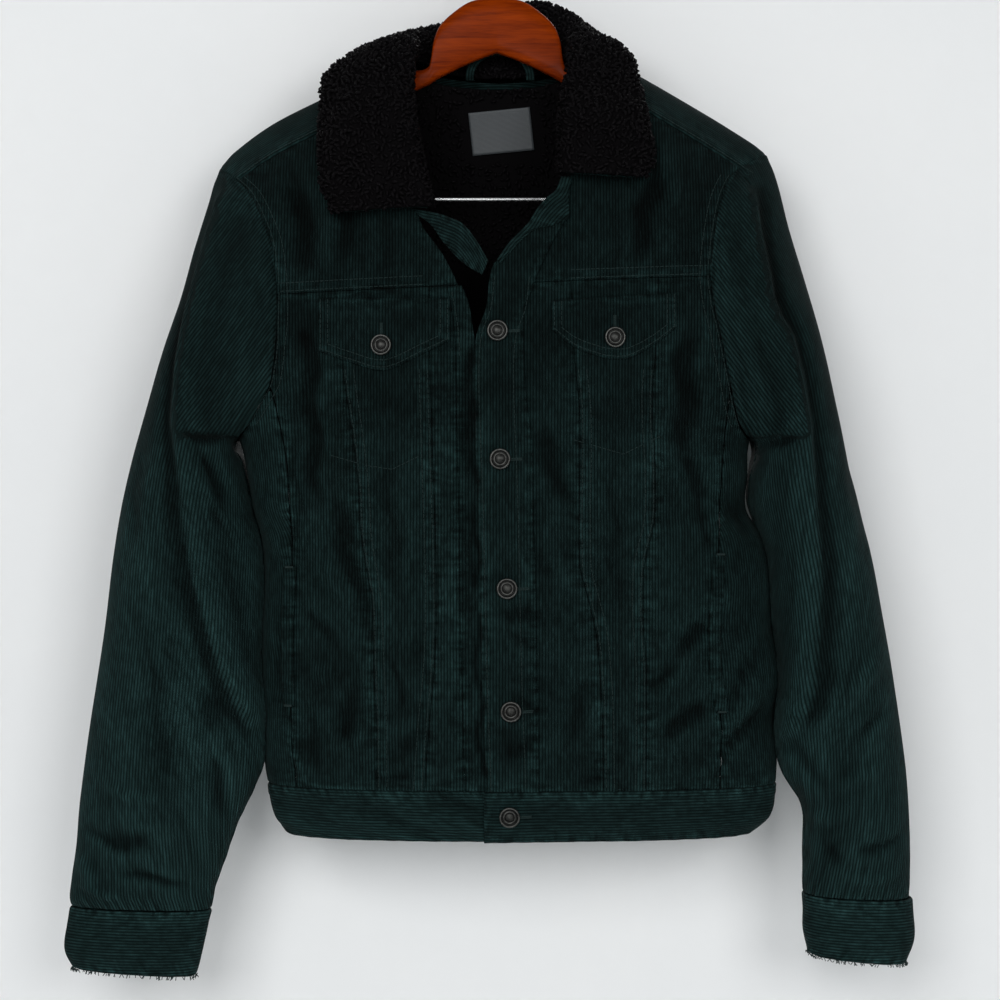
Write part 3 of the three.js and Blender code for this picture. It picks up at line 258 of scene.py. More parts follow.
# Main creases, as in the CAD model: a line, its half width and how far it lies out or in.
CREASES = table(
    "x0 z0 x1 z1 width out back",
    [-160, -224, -147, -290, 11, -7, 0], [-121, -200, -118, -285, 10, -6, 0],
    [-149, -335, -144, -470, 9, -7, 0], [-129, -475, -96, -585, 10, -6, 0],
    [-140, -525, -120, -550, 9, 3, 0], [-184, -498, -168, -520, 9, 3, 0],
    [-108, -615, -124, -672, 9, -3, 0], [-146, -611, -130, -612, 8, 4, 0],
    [-135, -666, -104, -664, 9, 4, 0], [-92, -657, -58, -650, 9, 3, 0],
    [127, -212, 108, -285, 10, -7, 0], [148, -345, 150, -440, 10, -6, 0],
    [150, -440, 160, -470, 9, -4, 0], [30, -415, 55, -474, 10, -4, 0],
    [40, -476, 52, -553, 9, 3, 0], [160, -572, 148, -592, 9, -5, 0],
    [210, -566, 198, -592, 9, 4, 0], [214, -618, 178, -662, 9, 5, 0],
    [166, -638, 134, -660, 9, -5, 0], [0, -566, 44, -564, 8, -3, 0],
    [74, -612, 56, -662, 9, -3, 0], [38, -658, 2, -676, 8, -2.6, 0],
    [-24, -470, -22, -640, 8, -3, 0],
    [-120, -250, -90, -420, 16, -6, 1], [118, -250, 92, -430, 16, -6, 1],
    [-40, -330, -70, -560, 18, -5, 1], [45, -320, 60, -600, 18, -5, 1],
    [-150, -470, -110, -560, 14, 5, 1], [150, -500, 120, -590, 14, 5, 1],
    [-130, -640, -60, -670, 12, 4, 1], [60, -650, 130, -640, 12, 4, 1],
    [-10, -420, 6, -640, 14, 4, 1])
# Finer creases that only the scene has: short dents and ridges of worn, padded cloth.
FINE = table(
    "x0 z0 x1 z1 width out back",
    [-108, -225, -104, -292, 5, -1.6, 0], [-134, -210, -131, -296, 4, 1.4, 0],
    [-88, -250, -86, -300, 5, -1.0, 0], [-170, -300, -166, -375, 5, 1.6, 0],
    [-160, -380, -158, -520, 5, -1.5, 0], [-137, -350, -134, -500, 4.5, 1.3, 0],
    [-120, -500, -104, -545, 4, 1.2, 0], [-150, -560, -126, -590, 5, -1.3, 0],
    [-176, -560, -172, -650, 5, -1.2, 0], [-88, -420, -78, -560, 6, -1.2, 0],
    [-70, -470, -66, -600, 5, 1.0, 0], [-112, -590, -98, -640, 4.5, 1.4, 0],
    [-125, -632, -118, -668, 4, -1.4, 0], [-150, -640, -140, -690, 5, -1.4, 0],
    [-100, -690, -64, -693, 4, -1.6, 0], [-60, -560, -52, -680, 5, -1.0, 0],
    [-166, -660, -150, -700, 4, 1.4, 0], [-84, -600, -70, -640, 4, -1.2, 0],
    [126, -180, 124, -240, 5, -1.6, 0], [140, -220, 132, -290, 5, 1.2, 0],
    [96, -240, 92, -296, 5, -1.0, 0], [162, -330, 164, -400, 4.5, 1.5, 0],
    [137, -330, 136, -420, 4, 1.3, 0], [160, -460, 168, -520, 5, -1.4, 0],
    [90, -430, 94, -560, 6, -1.2, 0], [75, -520, 84, -620, 5, -1.0, 0],
    [108, -560, 104, -690, 6, 1.2, 0], [150, -600, 128, -625, 4.5, 1.4, 0],
    [205, -600, 186, -632, 4.5, -1.8, 0], [212, -640, 180, -676, 4.5, -1.8, 0],
    [196, -668, 160, -690, 4.5, 1.6, 0], [140, -606, 116, -618, 4.5, -1.4, 0],
    [12, -500, 24, -545, 4, 1.2, 0], [4, -578, 30, -590, 4, -1.2, 0], [14, -628, 40, -640, 4, -1.3, 0],
    [0, -648, 28, -652, 4, 1.2, 0], [96, -690, 60, -697, 4, -1.5, 0], [-12, -690, -44, -696, 4, -1.4, 0],
    [190, -480, 205, -505, 5, -1.6, 0], [192, -530, 180, -560, 5, 1.4, 0],
    [-100, -340, -60, -500, 7, -1.5, 1], [-20, -300, -34, -460, 7, 1.4, 1],
    [30, -330, 22, -500, 7, -1.4, 1], [100, -320, 70, -500, 7, 1.4, 1],
    [-150, -340, -130, -460, 6, 1.4, 1], [150, -330, 136, -450, 6, 1.5, 1],
    [-140, -580, -80, -620, 6, -1.6, 1], [140, -600, 80, -630, 6, -1.5, 1],
    [-60, -600, 0, -650, 6, 1.3, 1], [20, -600, 60, -680, 6, -1.3, 1],
    [-170, -600, -140, -680, 6, 1.5, 1], [170, -560, 150, -660, 6, -1.4, 1],
    [-30, -660, 50, -684, 5, -1.5, 1],
    # Beside the closing edge of the left placket.
    [-20, -352, -20, -384, 4, -3.5, 0], [-20, -384, -17, -474, 3.4, -4, 0],
    [-17, -474, -15.5, -552, 3, -4, 0], [-15.5, -552, -13.5, -630, 3, -4, 0],
    [-13.5, -630, -11, -700, 3, -4, 0], [-25, -375, -21, -470, 6, -2.5, 0])


def ridge(x):
    """Height of the shoulders' ridge."""
    return read(SHOULDER_LINE, "x", "z", x)


def side(column, z):
    return read(SIDES, "z", column, z)


def centre(z):
    return (side("left", z) + side("right", z)) / 2


def half_width(z):
    return (side("left", z) - side("right", z)) / 2


def drop_of(q):
    """Drop below the ridge at height position q: 0 on the ridge, 1 where the rounding ends."""
    s = np.abs(q)
    rounding = RIDGE_DROP * (1 - np.cos(np.minimum(s, 1) * QUARTER) ** (2 / RIDGE_POWER))
    return np.where(s < 1, rounding, RIDGE_DROP + (s - 1) * BODY_CHART)


def height_at(drop):
    """Height position of a drop below the ridge."""
    near = np.clip(drop, 0, RIDGE_DROP) / RIDGE_DROP
    rounding = np.arccos(np.clip((1 - near) ** (RIDGE_POWER / 2), 0, 1)) / QUARTER
    return np.where(drop >= RIDGE_DROP, 1 + (drop - RIDGE_DROP) / BODY_CHART, rounding)


def girth_at(x, z):
    """Girth position of x at a height: 0 in the front middle, 1 at the left side."""
    return np.arcsin(np.clip((x - centre(z)) / half_width(z), -1, 1)) / QUARTER


WOBBLE = 2.2                 # how far a crease strays from its straight line


def crease_sum(lines, x, z, back):
    """How far the creases of a table lift the cloth at places on the front or the back."""
    total = np.zeros(np.shape(x))
    x, z = x + WOBBLE * np.sin(z / 9 + x / 31), z + WOBBLE * np.sin(x / 8 - z / 37)
    for x0, z0, x1, z1, width, out, on_back in zip(*lines.values()):
        dx, dz = x1 - x0, z1 - z0
        t = np.clip(((x - x0) * dx + (z - z0) * dz) / (dx * dx + dz * dz), 0, 1)
        away = np.hypot(x - x0 - t * dx, z - z0 - t * dz) / (width * 0.8)
        taper = 1 - 0.8 * np.abs(2 * t - 1) ** 3
        total += np.where(back == bool(on_back), out * taper * np.exp(-away * away), 0)
    return total


def plain_body(a, q):
    """The surface without creases, from girth position a and height position q."""
    drop, swing = drop_of(q), np.sin(a * QUARTER)
    x = np.zeros(np.broadcast(drop, swing).shape)
    for _ in range(14):
        z = ridge(x) - drop
        x = centre(z) + half_width(z) * swing
    rounding = np.sin(np.minimum(np.abs(q), 1) * QUARTER) ** (2 / RIDGE_POWER)
    across = (1 - np.minimum(1, np.abs(swing)) ** GIRTH_POWER) ** (1 / GIRTH_POWER)
    back = np.cos(a * QUARTER) * np.where(q < 0, -1, 1) < 0
    depth = np.where(back, side("back", z), side("front", z)) * rounding * across
    y = side("middle", z) + np.where(back, depth, -depth)
    return np.stack([x, y, z], -1), back


def unit(vectors):
    return vectors / np.maximum(np.linalg.norm(vectors, axis=-1, keepdims=True), 1e-9)


FINE_DEPTH = 1.6             # depth of the finer creases against their table


def body(a, q, creases=1.0):
    """Points of the creased surface and its outward normals."""
    step = 0.012
    p, back = plain_body(a, q)
    along = plain_body(a + step, q)[0] - plain_body(a - step, q)[0]
    down = plain_body(a, q + step)[0] - plain_body(a, q - step)[0]
    n = -unit(np.cross(along, down))
    x, z = p[..., 0], p[..., 2]
    off_sides = ease((1 - np.abs(np.sin(a * QUARTER))) * 9)
    main = ease((z - WAIST_TOP) / 40) * off_sides * crease_sum(CREASES, x, z, back)
    fine = ease((z - WAIST_TOP + 2) / 6) * off_sides * crease_sum(FINE, x, z, back)
    lift = creases * (main + FINE_DEPTH * fine)
    return p + n * lift[..., None], n


def on_body(x, z, creases=1.0, behind=False):
    """Place on the front at x and z, or on the back."""
    q = height_at(ridge(x) - z)
    if behind:
        return body(2 - girth_at(x, z), q, creases)
    return body(girth_at(x, z), q, creases)


# Corduroy
# Cotton corduroy dyed dark green: round cut-pile wales, painted paler along their tops as lit and darker in
# the valleys between as shaded. The pile is matt, brushed unevenly and rubbed paler along seams; creases get
# painted shade in their troughs and painted light on their ridges.
WALE = 2.4                   # from one wale to the next, drawn a little coarser than real
PILE_HEIGHT = 0.5            # bump of a wale, as deep as it needs to show at this size


def corduroy_cloth():
    """Wales follow the first coordinate of the cloth's own map, in metres."""
    made, tree = new_material("corduroy")
    chart = add_node(tree, "ShaderNodeUVMap", uv_map="cloth")
    split = add_node(tree, "ShaderNodeSeparateXYZ", {0: chart.outputs[0]})
    sway = add_node(tree, "ShaderNodeTexNoise", {"Vector": chart.outputs[0], "Scale": 28.0, "Detail": 1.0})
    swung = add_node(tree, "ShaderNodeMath", {0: sway.outputs["Fac"], 1: 0.7 * MM, 2: split.outputs[0]},
                     operation="MULTIPLY_ADD")
    wales = add_node(tree, "ShaderNodeMath", {0: swung.outputs[0], 1: 1 / (WALE * MM)}, operation="MULTIPLY")
    part = add_node(tree, "ShaderNodeMath", {0: wales.outputs[0]}, operation="FRACT")
    off = add_node(tree, "ShaderNodeMath", {0: part.outputs[0], 1: 0.5}, operation="SUBTRACT")
    away = add_node(tree, "ShaderNodeMath", {0: off.outputs[0]}, operation="ABSOLUTE")
    twice = add_node(tree, "ShaderNodeMath", {0: away.outputs[0], 1: 2.0}, operation="MULTIPLY")
    steep = add_node(tree, "ShaderNodeMath", {0: twice.outputs[0], 1: 1.3}, operation="POWER")
    wale = add_node(tree, "ShaderNodeMath", {0: 1.0, 1: steep.outputs[0]}, operation="SUBTRACT")
    # Each wale is brushed differently along its length, and fine pile breaks all of it up.
    number = add_node(tree, "ShaderNodeMath", {0: wales.outputs[0]}, operation="FLOOR")
    along = add_node(tree, "ShaderNodeMath", {0: split.outputs[1], 1: 120.0}, operation="MULTIPLY")
    spot = add_node(tree, "ShaderNodeCombineXYZ", {0: number.outputs[0], 1: along.outputs[0]})
    brushed = add_node(tree, "ShaderNodeTexNoise", {"Vector": spot.outputs[0], "Scale": 0.83, "Detail": 2.0,
                                                    "Roughness": 0.6})
    fibre = add_node(tree, "ShaderNodeTexNoise", {"Vector": chart.outputs[0], "Scale": 1500.0,
                                                  "Detail": 2.0})
    patch = add_node(tree, "ShaderNodeTexNoise", {"Vector": chart.outputs[0], "Scale": 19.0, "Detail": 4.0,
                                                  "Roughness": 0.6})
    clear = add_node(tree, "ShaderNodeMapRange", {0: brushed.outputs["Fac"], 1: 0.35, 2: 0.68, 3: 0.4,
                                                  4: 1.0})
    # Painted light and shade: the top of each wale is painted paler as if lit and its valley darker as if
    # shaded; the bump below gives the wales their real relief.
    lit = add_node(tree, "ShaderNodeMath", {0: wale.outputs[0], 1: clear.outputs[0]}, operation="MULTIPLY")
    cloth_colour = add_node(tree, "ShaderNodeMix", {0: lit.outputs[0], 6: linear("#020706"),
                                                    7: linear("#152626")}, data_type="RGBA")
    shade = add_node(tree, "ShaderNodeMapRange", {0: patch.outputs["Fac"], 1: 0.3, 2: 0.7, 3: 0.62, 4: 1.38})
    fuzz = add_node(tree, "ShaderNodeMapRange", {0: fibre.outputs["Fac"], 1: 0.25, 2: 0.75, 3: 0.7, 4: 1.3})
    tone = add_node(tree, "ShaderNodeMath", {0: shade.outputs[0], 1: fuzz.outputs[0]}, operation="MULTIPLY")
    # Painted shade darkens the troughs and painted light brightens the ridges, by how deep each place lies
    # below its neighbours; along seams the pile is rubbed paler.
    bent = add_node(tree, "ShaderNodeAttribute", attribute_name="fold")
    hollow = add_node(tree, "ShaderNodeMapRange", {0: bent.outputs["Fac"], 1: -1.0, 2: 1.0, 3: 1.4, 4: 0.42})
    # Painted light and shade: this attribute makes some pieces and heights paler and others darker.
    painted_light_factor = add_node(tree, "ShaderNodeAttribute", attribute_name="nap")
    napped = add_node(tree, "ShaderNodeMath", {0: tone.outputs[0], 1: painted_light_factor.outputs["Fac"]},
                      operation="MULTIPLY")
    creased = add_node(tree, "ShaderNodeMath", {0: napped.outputs[0], 1: hollow.outputs[0]},
                       operation="MULTIPLY")
    # Along seams: paler rubbed wear, and blotches across the seam that paint shade and light for its
    # puckers, which the bump also raises.
    seam = add_node(tree, "ShaderNodeAttribute", attribute_name="edge")
    across_seam = add_node(tree, "ShaderNodeMapping", {"Vector": chart.outputs[0],
                                                       "Scale": (0.35, 1.0, 1.0)})
    pucker = add_node(tree, "ShaderNodeTexNoise", {"Vector": across_seam.outputs[0], "Scale": 190.0,
                                                   "Detail": 1.0})
    crumple = add_node(tree, "ShaderNodeMapRange", {0: pucker.outputs["Fac"], 1: 0.35, 2: 0.68, 3: -0.55,
                                                    4: 1.5})
    seam_wear_and_pucker_shade = add_node(tree, "ShaderNodeMath", {0: seam.outputs["Fac"], 1: crumple.outputs[0]},
                   operation="MULTIPLY")
    rubbed = add_node(tree, "ShaderNodeMath", {0: seam_wear_and_pucker_shade.outputs[0], 1: 0.75, 2: 1.0},
                      operation="MULTIPLY_ADD")
    wear_and_painted_light = add_node(tree, "ShaderNodeMath", {0: creased.outputs[0], 1: rubbed.outputs[0]},
                    operation="MULTIPLY")
    colour = add_node(tree, "ShaderNodeVectorMath", {0: cloth_colour.outputs[2], "Scale": wear_and_painted_light.outputs[0]},
                      operation="SCALE")
    height = add_node(tree, "ShaderNodeMath", {0: fibre.outputs["Fac"], 1: 0.35, 2: wale.outputs[0]},
                      operation="MULTIPLY_ADD")
    crumpled = add_node(tree, "ShaderNodeMath", {0: seam_wear_and_pucker_shade.outputs[0], 1: 1.6, 2: height.outputs[0]},
                        operation="MULTIPLY_ADD")
    relief = add_node(tree, "ShaderNodeBump", {"Height": crumpled.outputs[0], "Strength": 0.9,
                                               "Distance": PILE_HEIGHT * MM})
    surface = add_node(tree, "ShaderNodeBsdfPrincipled", {
        "Base Color": colour.outputs[0], "Roughness": 0.9, "Specular IOR Level": 0.05,
        "Sheen Weight": 0.02, "Sheen Roughness": 0.4, "Sheen Tint": linear("#b9d4d0"),
        "Normal": relief.outputs[0]})
    add_node(tree, "ShaderNodeOutputMaterial", {"Surface": surface.outputs[0]})
    return made


corduroy = corduroy_cloth()


def place_lines(length, step):
    """Fractions of grid lines over a length: even ones, with close ones at both edges."""
    even = np.linspace(0, 1, max(3, round(length / step)) + 1)
    close = np.array([0.7, 1.8]) / length
    return np.concatenate([[0], close, even[1:-1], 1 - close[::-1], [1]])


def distances(points, axis):
    """Length along each grid line up to each point."""
    steps = np.linalg.norm(np.diff(points, axis=axis), axis=-1)
    total = np.cumsum(steps, axis=axis)
    return np.concatenate([np.zeros_like(np.take(total, [0], axis=axis)), total], axis=axis)


# Length round the body from the front middle, at each height and girth position, for the map.
CHART_Z = np.linspace(-60, -744, 58)
CHART_A = np.linspace(-4, 4, 801)
chart_x = centre(CHART_Z)[:, None] + half_width(CHART_Z)[:, None] * np.sin(CHART_A * QUARTER)
chart_depth = np.where(np.cos(CHART_A * QUARTER) < 0, side("back", CHART_Z)[:, None],
                       side("front", CHART_Z)[:, None])
chart_swing = np.minimum(1, np.abs(np.sin(CHART_A * QUARTER)))
chart_y = chart_depth * (1 - chart_swing ** GIRTH_POWER) ** (1 / GIRTH_POWER)
chart_length = distances(np.stack([chart_x, chart_y], -1), 1)
chart_length -= chart_length[:, [len(CHART_A) // 2]]


def lookup(grid, row, column):
    """Value between the points of a grid, at fractional rows and columns."""
    i = np.clip(np.floor(row).astype(int), 0, grid.shape[0] - 2)
    j = np.clip(np.floor(column).astype(int), 0, grid.shape[1] - 2)
    s, t = row - i, column - j
    return ((grid[i, j] * (1 - t) + grid[i, j + 1] * t) * (1 - s)
            + (grid[i + 1, j] * (1 - t) + grid[i + 1, j + 1] * t) * s)


def round_body(a, z):
    """Length round the body to girth position a, so that wales stay upright."""
    row = (CHART_Z[0] - z) / (CHART_Z[0] - CHART_Z[-1]) * (len(CHART_Z) - 1)
    return lookup(chart_length, np.clip(row, 0, len(CHART_Z) - 1), (a + 4) / 8 * (len(CHART_A) - 1))


def mesh_object(name, points, faces, material, chart=None, chart_ids=None, marks=(), smooth=True):
    """A mesh in metres from points in millimetres; chart gives its map by corner."""
    mesh = bpy.data.meshes.new(name)
    mesh.from_pydata((np.asarray(points) * MM).tolist(), [], faces)
    if chart is not None:
        layer = mesh.uv_layers.new(name="cloth")
        ids = np.array(chart_ids).ravel()
        layer.data.foreach_set("uv", (np.asarray(chart)[ids] * MM).astype(np.float32).ravel())
    for mark, values in dict(marks).items():
        layer = mesh.attributes.new(mark, "FLOAT", "POINT")
        layer.data.foreach_set("value", np.asarray(values, np.float32))
    mesh.polygons.foreach_set("use_smooth", [smooth] * len(mesh.polygons))
    mesh.materials.append(material)
    mesh.update()
    made = bpy.data.objects.new(name, mesh)
    bpy.context.scene.collection.objects.link(made)
    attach(made, "root")
    return made


def hollows(p, n):
    """How deep each place lies below its neighbours 11 and 20 mm away, from -1 to 1."""
    found = np.zeros(p.shape[:2])
    for axis in (0, 1):
        step = np.linalg.norm(np.diff(p, axis=axis), axis=-1)
        for reach in (11.0, 20.0):
            k = int(np.clip(round(reach / max(np.median(step), 0.3)), 1, (p.shape[axis] - 1) // 2))
            first, last = np.take(p, [0], axis), np.take(p, [-1], axis)
            count = p.shape[axis]
            before = 2 * first - np.flip(np.take(p, range(1, k + 1), axis), axis)
            after = 2 * last - np.flip(np.take(p, range(count - k - 1, count - 1), axis), axis)
            wide = np.concatenate([before, p, after], axis)
            near = (np.take(wide, range(count), axis) + np.take(wide, range(2 * k, 2 * k + count), axis)) / 2
            found += np.einsum("ijk,ijk->ij", near - p, n) / reach * 11
    return np.clip(found / 5.0, -1, 1)


def shell(name, p, n, chart, material, raised=0.0, thick=CLOTH, around=False, has=None, laps=(),
          fall=0.9, wrinkle=0.25, nap=1.0):
    """A wall of cloth on a grid of places, and its cut: edges turn down by fall, laps raise it along some
    edges, it puckers close behind a seam, and nap scales its colour as painted light and shade."""
    rows, cols = p.shape[:2]
    across, down = distances(p, 1), distances(p, 0)
    edges = {"start": across, "end": across[:, -1:] - across, "top": down, "bottom": down[-1:] - down}
    near = [edges["top"], edges["bottom"]] + ([] if around else [edges["start"], edges["end"]])
    away = np.min(near, axis=0)
    lift = np.zeros((rows, cols)) + raised - fall * np.exp(-(away / 0.8) ** 2)
    for edge in laps:
        lift = lift + 0.7 * ease((10.5 - edges[edge]) / 1.6) * ease(edges[edge] / 0.8)
    ripple = np.sin(across / 2.7 + 2 * np.sin(down / 23)) + np.sin(down / 2.9 + 2 * np.sin(across / 19))
    lift = lift + wrinkle * ripple * np.exp(-away / 10)
    outer = p + n * lift[..., None]
    inner = p + n * (np.zeros((rows, cols)) + raised - thick)[..., None]
    span = cols - 1 if around else cols
    ids = np.arange(rows * cols).reshape(rows, cols)
    wrapped = (np.arange(rows)[:, None] * span + np.arange(cols)[None] % span)
    a, b, c, d = ids[:-1, :-1], ids[1:, :-1], ids[1:, 1:], ids[:-1, 1:]
    cells = np.ones(a.shape, bool) if has is None else has
    quads = np.stack([a, b, c, d], -1)[cells]
    far = rows * cols
    all_quads = [quads, quads[:, ::-1] + far]
    beside = [(0, -1, a, b), (1, 0, b, c), (0, 1, c, d), (-1, 0, d, a)]
    for down_step, across_step, first, second in beside:
        neighbour = np.zeros_like(cells)
        i = np.arange(rows - 1)[:, None] + down_step
        j = np.arange(cols - 1)[None] + across_step
        if around:
            j = j % (cols - 1)
        inside = (i >= 0) & (i < rows - 1) & (j >= 0) & (j < cols - 1)
        neighbour[:] = inside & cells[np.clip(i, 0, rows - 2), np.clip(j, 0, cols - 2)]
        open_edge = cells & ~neighbour
        s, e = first[open_edge], second[open_edge]
        all_quads.append(np.stack([e, s, s + far, e + far], -1))
    facing = np.cross(p[1:, 1:] - p[:-1, :-1], p[:-1, 1:] - p[1:, :-1])[cells]
    faces = np.concatenate(all_quads)
    if np.einsum("ij,ij->", facing, n[:-1, :-1][cells]) < 0:
        faces = faces[:, ::-1]
    weld = np.concatenate([wrapped.ravel(), wrapped.ravel() + rows * span])
    keep_points = np.zeros((rows * span * 2, 3))
    keep_edge = np.zeros(rows * span * 2)
    keep_fold = np.zeros(rows * span * 2)
    both = np.concatenate([outer.reshape(-1, 3), inner.reshape(-1, 3)])
    rim = np.exp(-away / 7.0).ravel()
    # How deep each place lies, from which the corduroy paints shade into troughs and light onto ridges.
    fold = hollows(outer, n).ravel()
    keep_points[weld] = both
    keep_edge[weld] = np.concatenate([rim, rim * 0])
    keep_fold[weld] = np.concatenate([fold, fold])
    keep_nap = np.zeros(rows * span * 2)
    keep_nap[weld] = np.tile((nap(p) if callable(nap) else np.full((rows, cols), nap)).ravel(), 2)
    used, renumbered = np.unique(weld[faces], return_inverse=True)
    made = mesh_object(name, keep_points[used], renumbered.reshape(-1, 4).tolist(), material,
                       np.concatenate([chart.reshape(-1, 2)] * 2), faces,
                       {"edge": keep_edge[used], "fold": keep_fold[used], "nap": keep_nap[used]})
    middle = p.reshape(-1, 3)[quads]
    crossed = np.cross(middle[:, 2] - middle[:, 0], middle[:, 3] - middle[:, 1])
    area = np.linalg.norm(crossed, axis=1).sum() / 2
    width, length = across[:, -1].max(), down[-1].max()
    return made, (width * MM, length * MM, min(area, width * length) * MM * MM)


def sew(made, cut, *nodes, slot="corduroy"):
    """Hides the CAD model's parts that a piece of cloth stands for, and gives the piece back; its cut and
    its finish (slot) are not used.
    """
    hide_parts(*nodes)
    return made


def on_chart(p, a):
    """Map of places on the body: length round it, with wales upright in front and behind; height."""
    z = p[..., 2]
    around = round_body(a, z)
    if np.abs(a).max() < 1.02:
        around = around + centre(z)
    elif np.abs(a).min() > 0.98:
        around = around - round_body(np.sign(a) * 2, z) - centre(z)
    return np.stack([around, z], -1)


def between(first, second, top, bottom, creases=1.0):
    """Places between two side edges (girth by height) and two level edges (height by x)."""
    def place(f, v):
        z = np.full(np.broadcast(f, v).shape, (top(np.array(0.0)) + bottom(np.array(0.0))) / 2)
        for _ in range(24):
            a = mix(first(z), second(z), f)
            x = centre(z) + half_width(z) * np.sin(a * QUARTER)
            q = mix(height_at(ridge(x) - top(x)), height_at(ridge(x) - bottom(x)), v)
            z = mix(z, ridge(x) - drop_of(q), 0.7)
        p, n = body(a, q, creases)
        return p, n, on_chart(p, a)
    return place


GRID = 3.6                   # between the lines of a panel's mesh


def panel(name, place, size, **options):
    """A cut panel of the CAD model's name, on its places, about size wide and long."""
    step = options.pop("step", GRID)
    f, v = place_lines(size[0], step), place_lines(size[1], step)
    p, n, chart = place(*np.meshgrid(f, v))
    made, cut = shell(f"{name}_cloth", p, n, chart, options.pop("material", corduroy), **options)
    return sew(made, cut, name)


def on_front(rows, inset):
    return lambda z: girth_at(read(rows, "z", "x", z) + inset, z)


def on_back(rows, inset, turn):
    return lambda z: 2 * turn - girth_at(read(rows, "z", "x", z) + inset, z)


def chest_seam(x):
    return -305 + 0.042 * x


def shoulder_seam(x):
    return ridge(x) - SHOULDER_SEAM


def armhole(who, face, z):
    return read(ARMHOLE[who][face], "z", "x", z)


def level(height):
    return lambda x: np.zeros(np.shape(x)) + height


# Fronts
# Each front is a yoke above the chest seam and three panels below it: centre, pocket and side.
# They are joined by lapped seams, sewn down with two rows of stitches.
SIGN = {"right": -1, "left": 1}


def chest_nap(p):
    """Painted light and shade: the cloth is made darker over the upper chest and paler lower down."""
    return mix(1.04, 0.74, ease((p[..., 2] + 480) / 140))


def side_front_edge(who, sign):
    """The outer edge of the side front: the armhole, then the side seam."""
    def edge(z):
        seam = read(SEAM[f"side_{who}"], "z", "x", np.minimum(z, -381))
        hole = armhole(who, "front", np.maximum(z, -424))
        lower = sign * np.minimum(sign * seam, np.where(z > -424, sign * hole, np.inf))
        return girth_at(np.where(z > -384, hole, lower) - sign * 0.4, z)
    return edge


for who, sign in SIGN.items():
    under_chest = lambda x: chest_seam(x) - HALF
    over_waist = level(WAIST_TOP + HALF)
    neck = on_front(SEAM[f"neck_{who}"], HALF * sign)
    arm = lambda z, who=who, sign=sign: girth_at(armhole(who, "front", z) - HALF * sign, z)
    # The yokes are made darker with painted shade.
    panel(f"front_yoke_{who}", between(neck, arm, lambda x: shoulder_seam(x) - HALF,
                                       lambda x: chest_seam(x) + HALF), (120, 160),
          laps=("bottom", "end"), nap=0.66)
    first = SEAM["placket_right" if who == "right" else "under_left"]
    inner, outer = SEAM[f"inner_{who}"], SEAM[f"outer_{who}"]
    panel(f"centre_front_{who}", between(on_front(first, HALF * sign), on_front(inner, -HALF * sign),
                                         under_chest, over_waist), (40, 398), nap=chest_nap)
    panel(f"pocket_panel_{who}", between(on_front(inner, HALF * sign), on_front(outer, -HALF * sign),
                                         under_chest, over_waist), (65, 398),
          laps=("start", "end"), nap=chest_nap)
    panel(f"side_front_{who}", between(on_front(outer, HALF * sign), side_front_edge(who, sign),
                                       under_chest, over_waist), (64, 398), nap=chest_nap)


def side_panel(who, sign):
    """The panel under the arm, from the front's side seam round to the back's."""
    lowest = ARMHOLE[who]["front"]["z"][-1]
    front = on_front(SEAM[f"side_{who}"], sign * 0.5)
    behind = on_back(SEAM[f"back_side_{who}"], sign * 0.5, sign)
    heights = np.arange(-386, lowest, -0.25)
    on_front_side = np.maximum.accumulate(sign * girth_at(armhole(who, "front", heights), heights))
    on_back_side = np.minimum.accumulate(2 - sign * girth_at(armhole(who, "back", heights), heights))

    def rim(a):
        face = np.where(sign * a < 1, np.interp(sign * a, on_front_side, heights),
                        np.interp(-sign * a, -on_back_side, heights))
        return face - 1.6

    def place(f, v):
        top = np.full(np.broadcast(f, v).shape, -400.0)
        for _ in range(12):
            top = mix(top, rim(mix(front(top), behind(top), f)), 0.6)
        z = mix(np.minimum(top, -388), WAIST_TOP + HALF, v)
        a = mix(front(z), behind(z), f)
        x = centre(z) + half_width(z) * np.sin(a * QUARTER)
        p, n = body(a, height_at(ridge(x) - z))
        return p, n, on_chart(p, a)
    return place


for who, sign in SIGN.items():
    panel(f"side_panel_{who}", side_panel(who, sign), (90, 290))

# Closure
# The left placket lies over the right one. At the neck the facings are turned out, which shows
# their smooth rubbed edge.
panel("placket_right", between(on_front(SEAM["edge_right"], 0), on_front(SEAM["placket_right"], HALF),
                               lambda x: chest_seam(x) - HALF, level(WAIST_TOP + HALF)), (36, 398),
      nap=chest_nap)
NECK_CUT = table("x z", [-12, -296], [-3, -290], [9, -278], [28, -262], [45, -258], [58, -252])
panel("placket_left", between(on_front(SEAM["edge_left"], 0), on_front(SEAM["placket_left"], 0),
                              lambda x: read(NECK_CUT, "x", "z", x), level(WAIST_TOP + HALF)),
      (40, 440), raised=ON + 2.3, thick=2.0, fall=1.2, step=3.0, nap=chest_nap)
FACING = {
    "right": (table("x z", [-66, -246], [-48, -249.5], [-37, -253], [-26, -258.5], [-16, -271],
                    [-6.5, -287]),
              table("x z", [-62, -251], [-51.5, -259], [-43, -271], [-33, -282.5], [-22, -292],
                    [-11.5, -298])),
    "left": (table("x z", [50, -222], [46, -232], [39, -238], [31.5, -246.5], [23.5, -259], [9, -274],
                   [0, -287]),
             table("x z", [58, -222], [56, -240], [55.5, -254], [43, -260], [28.5, -264], [15, -276],
                   [3, -290])),
}


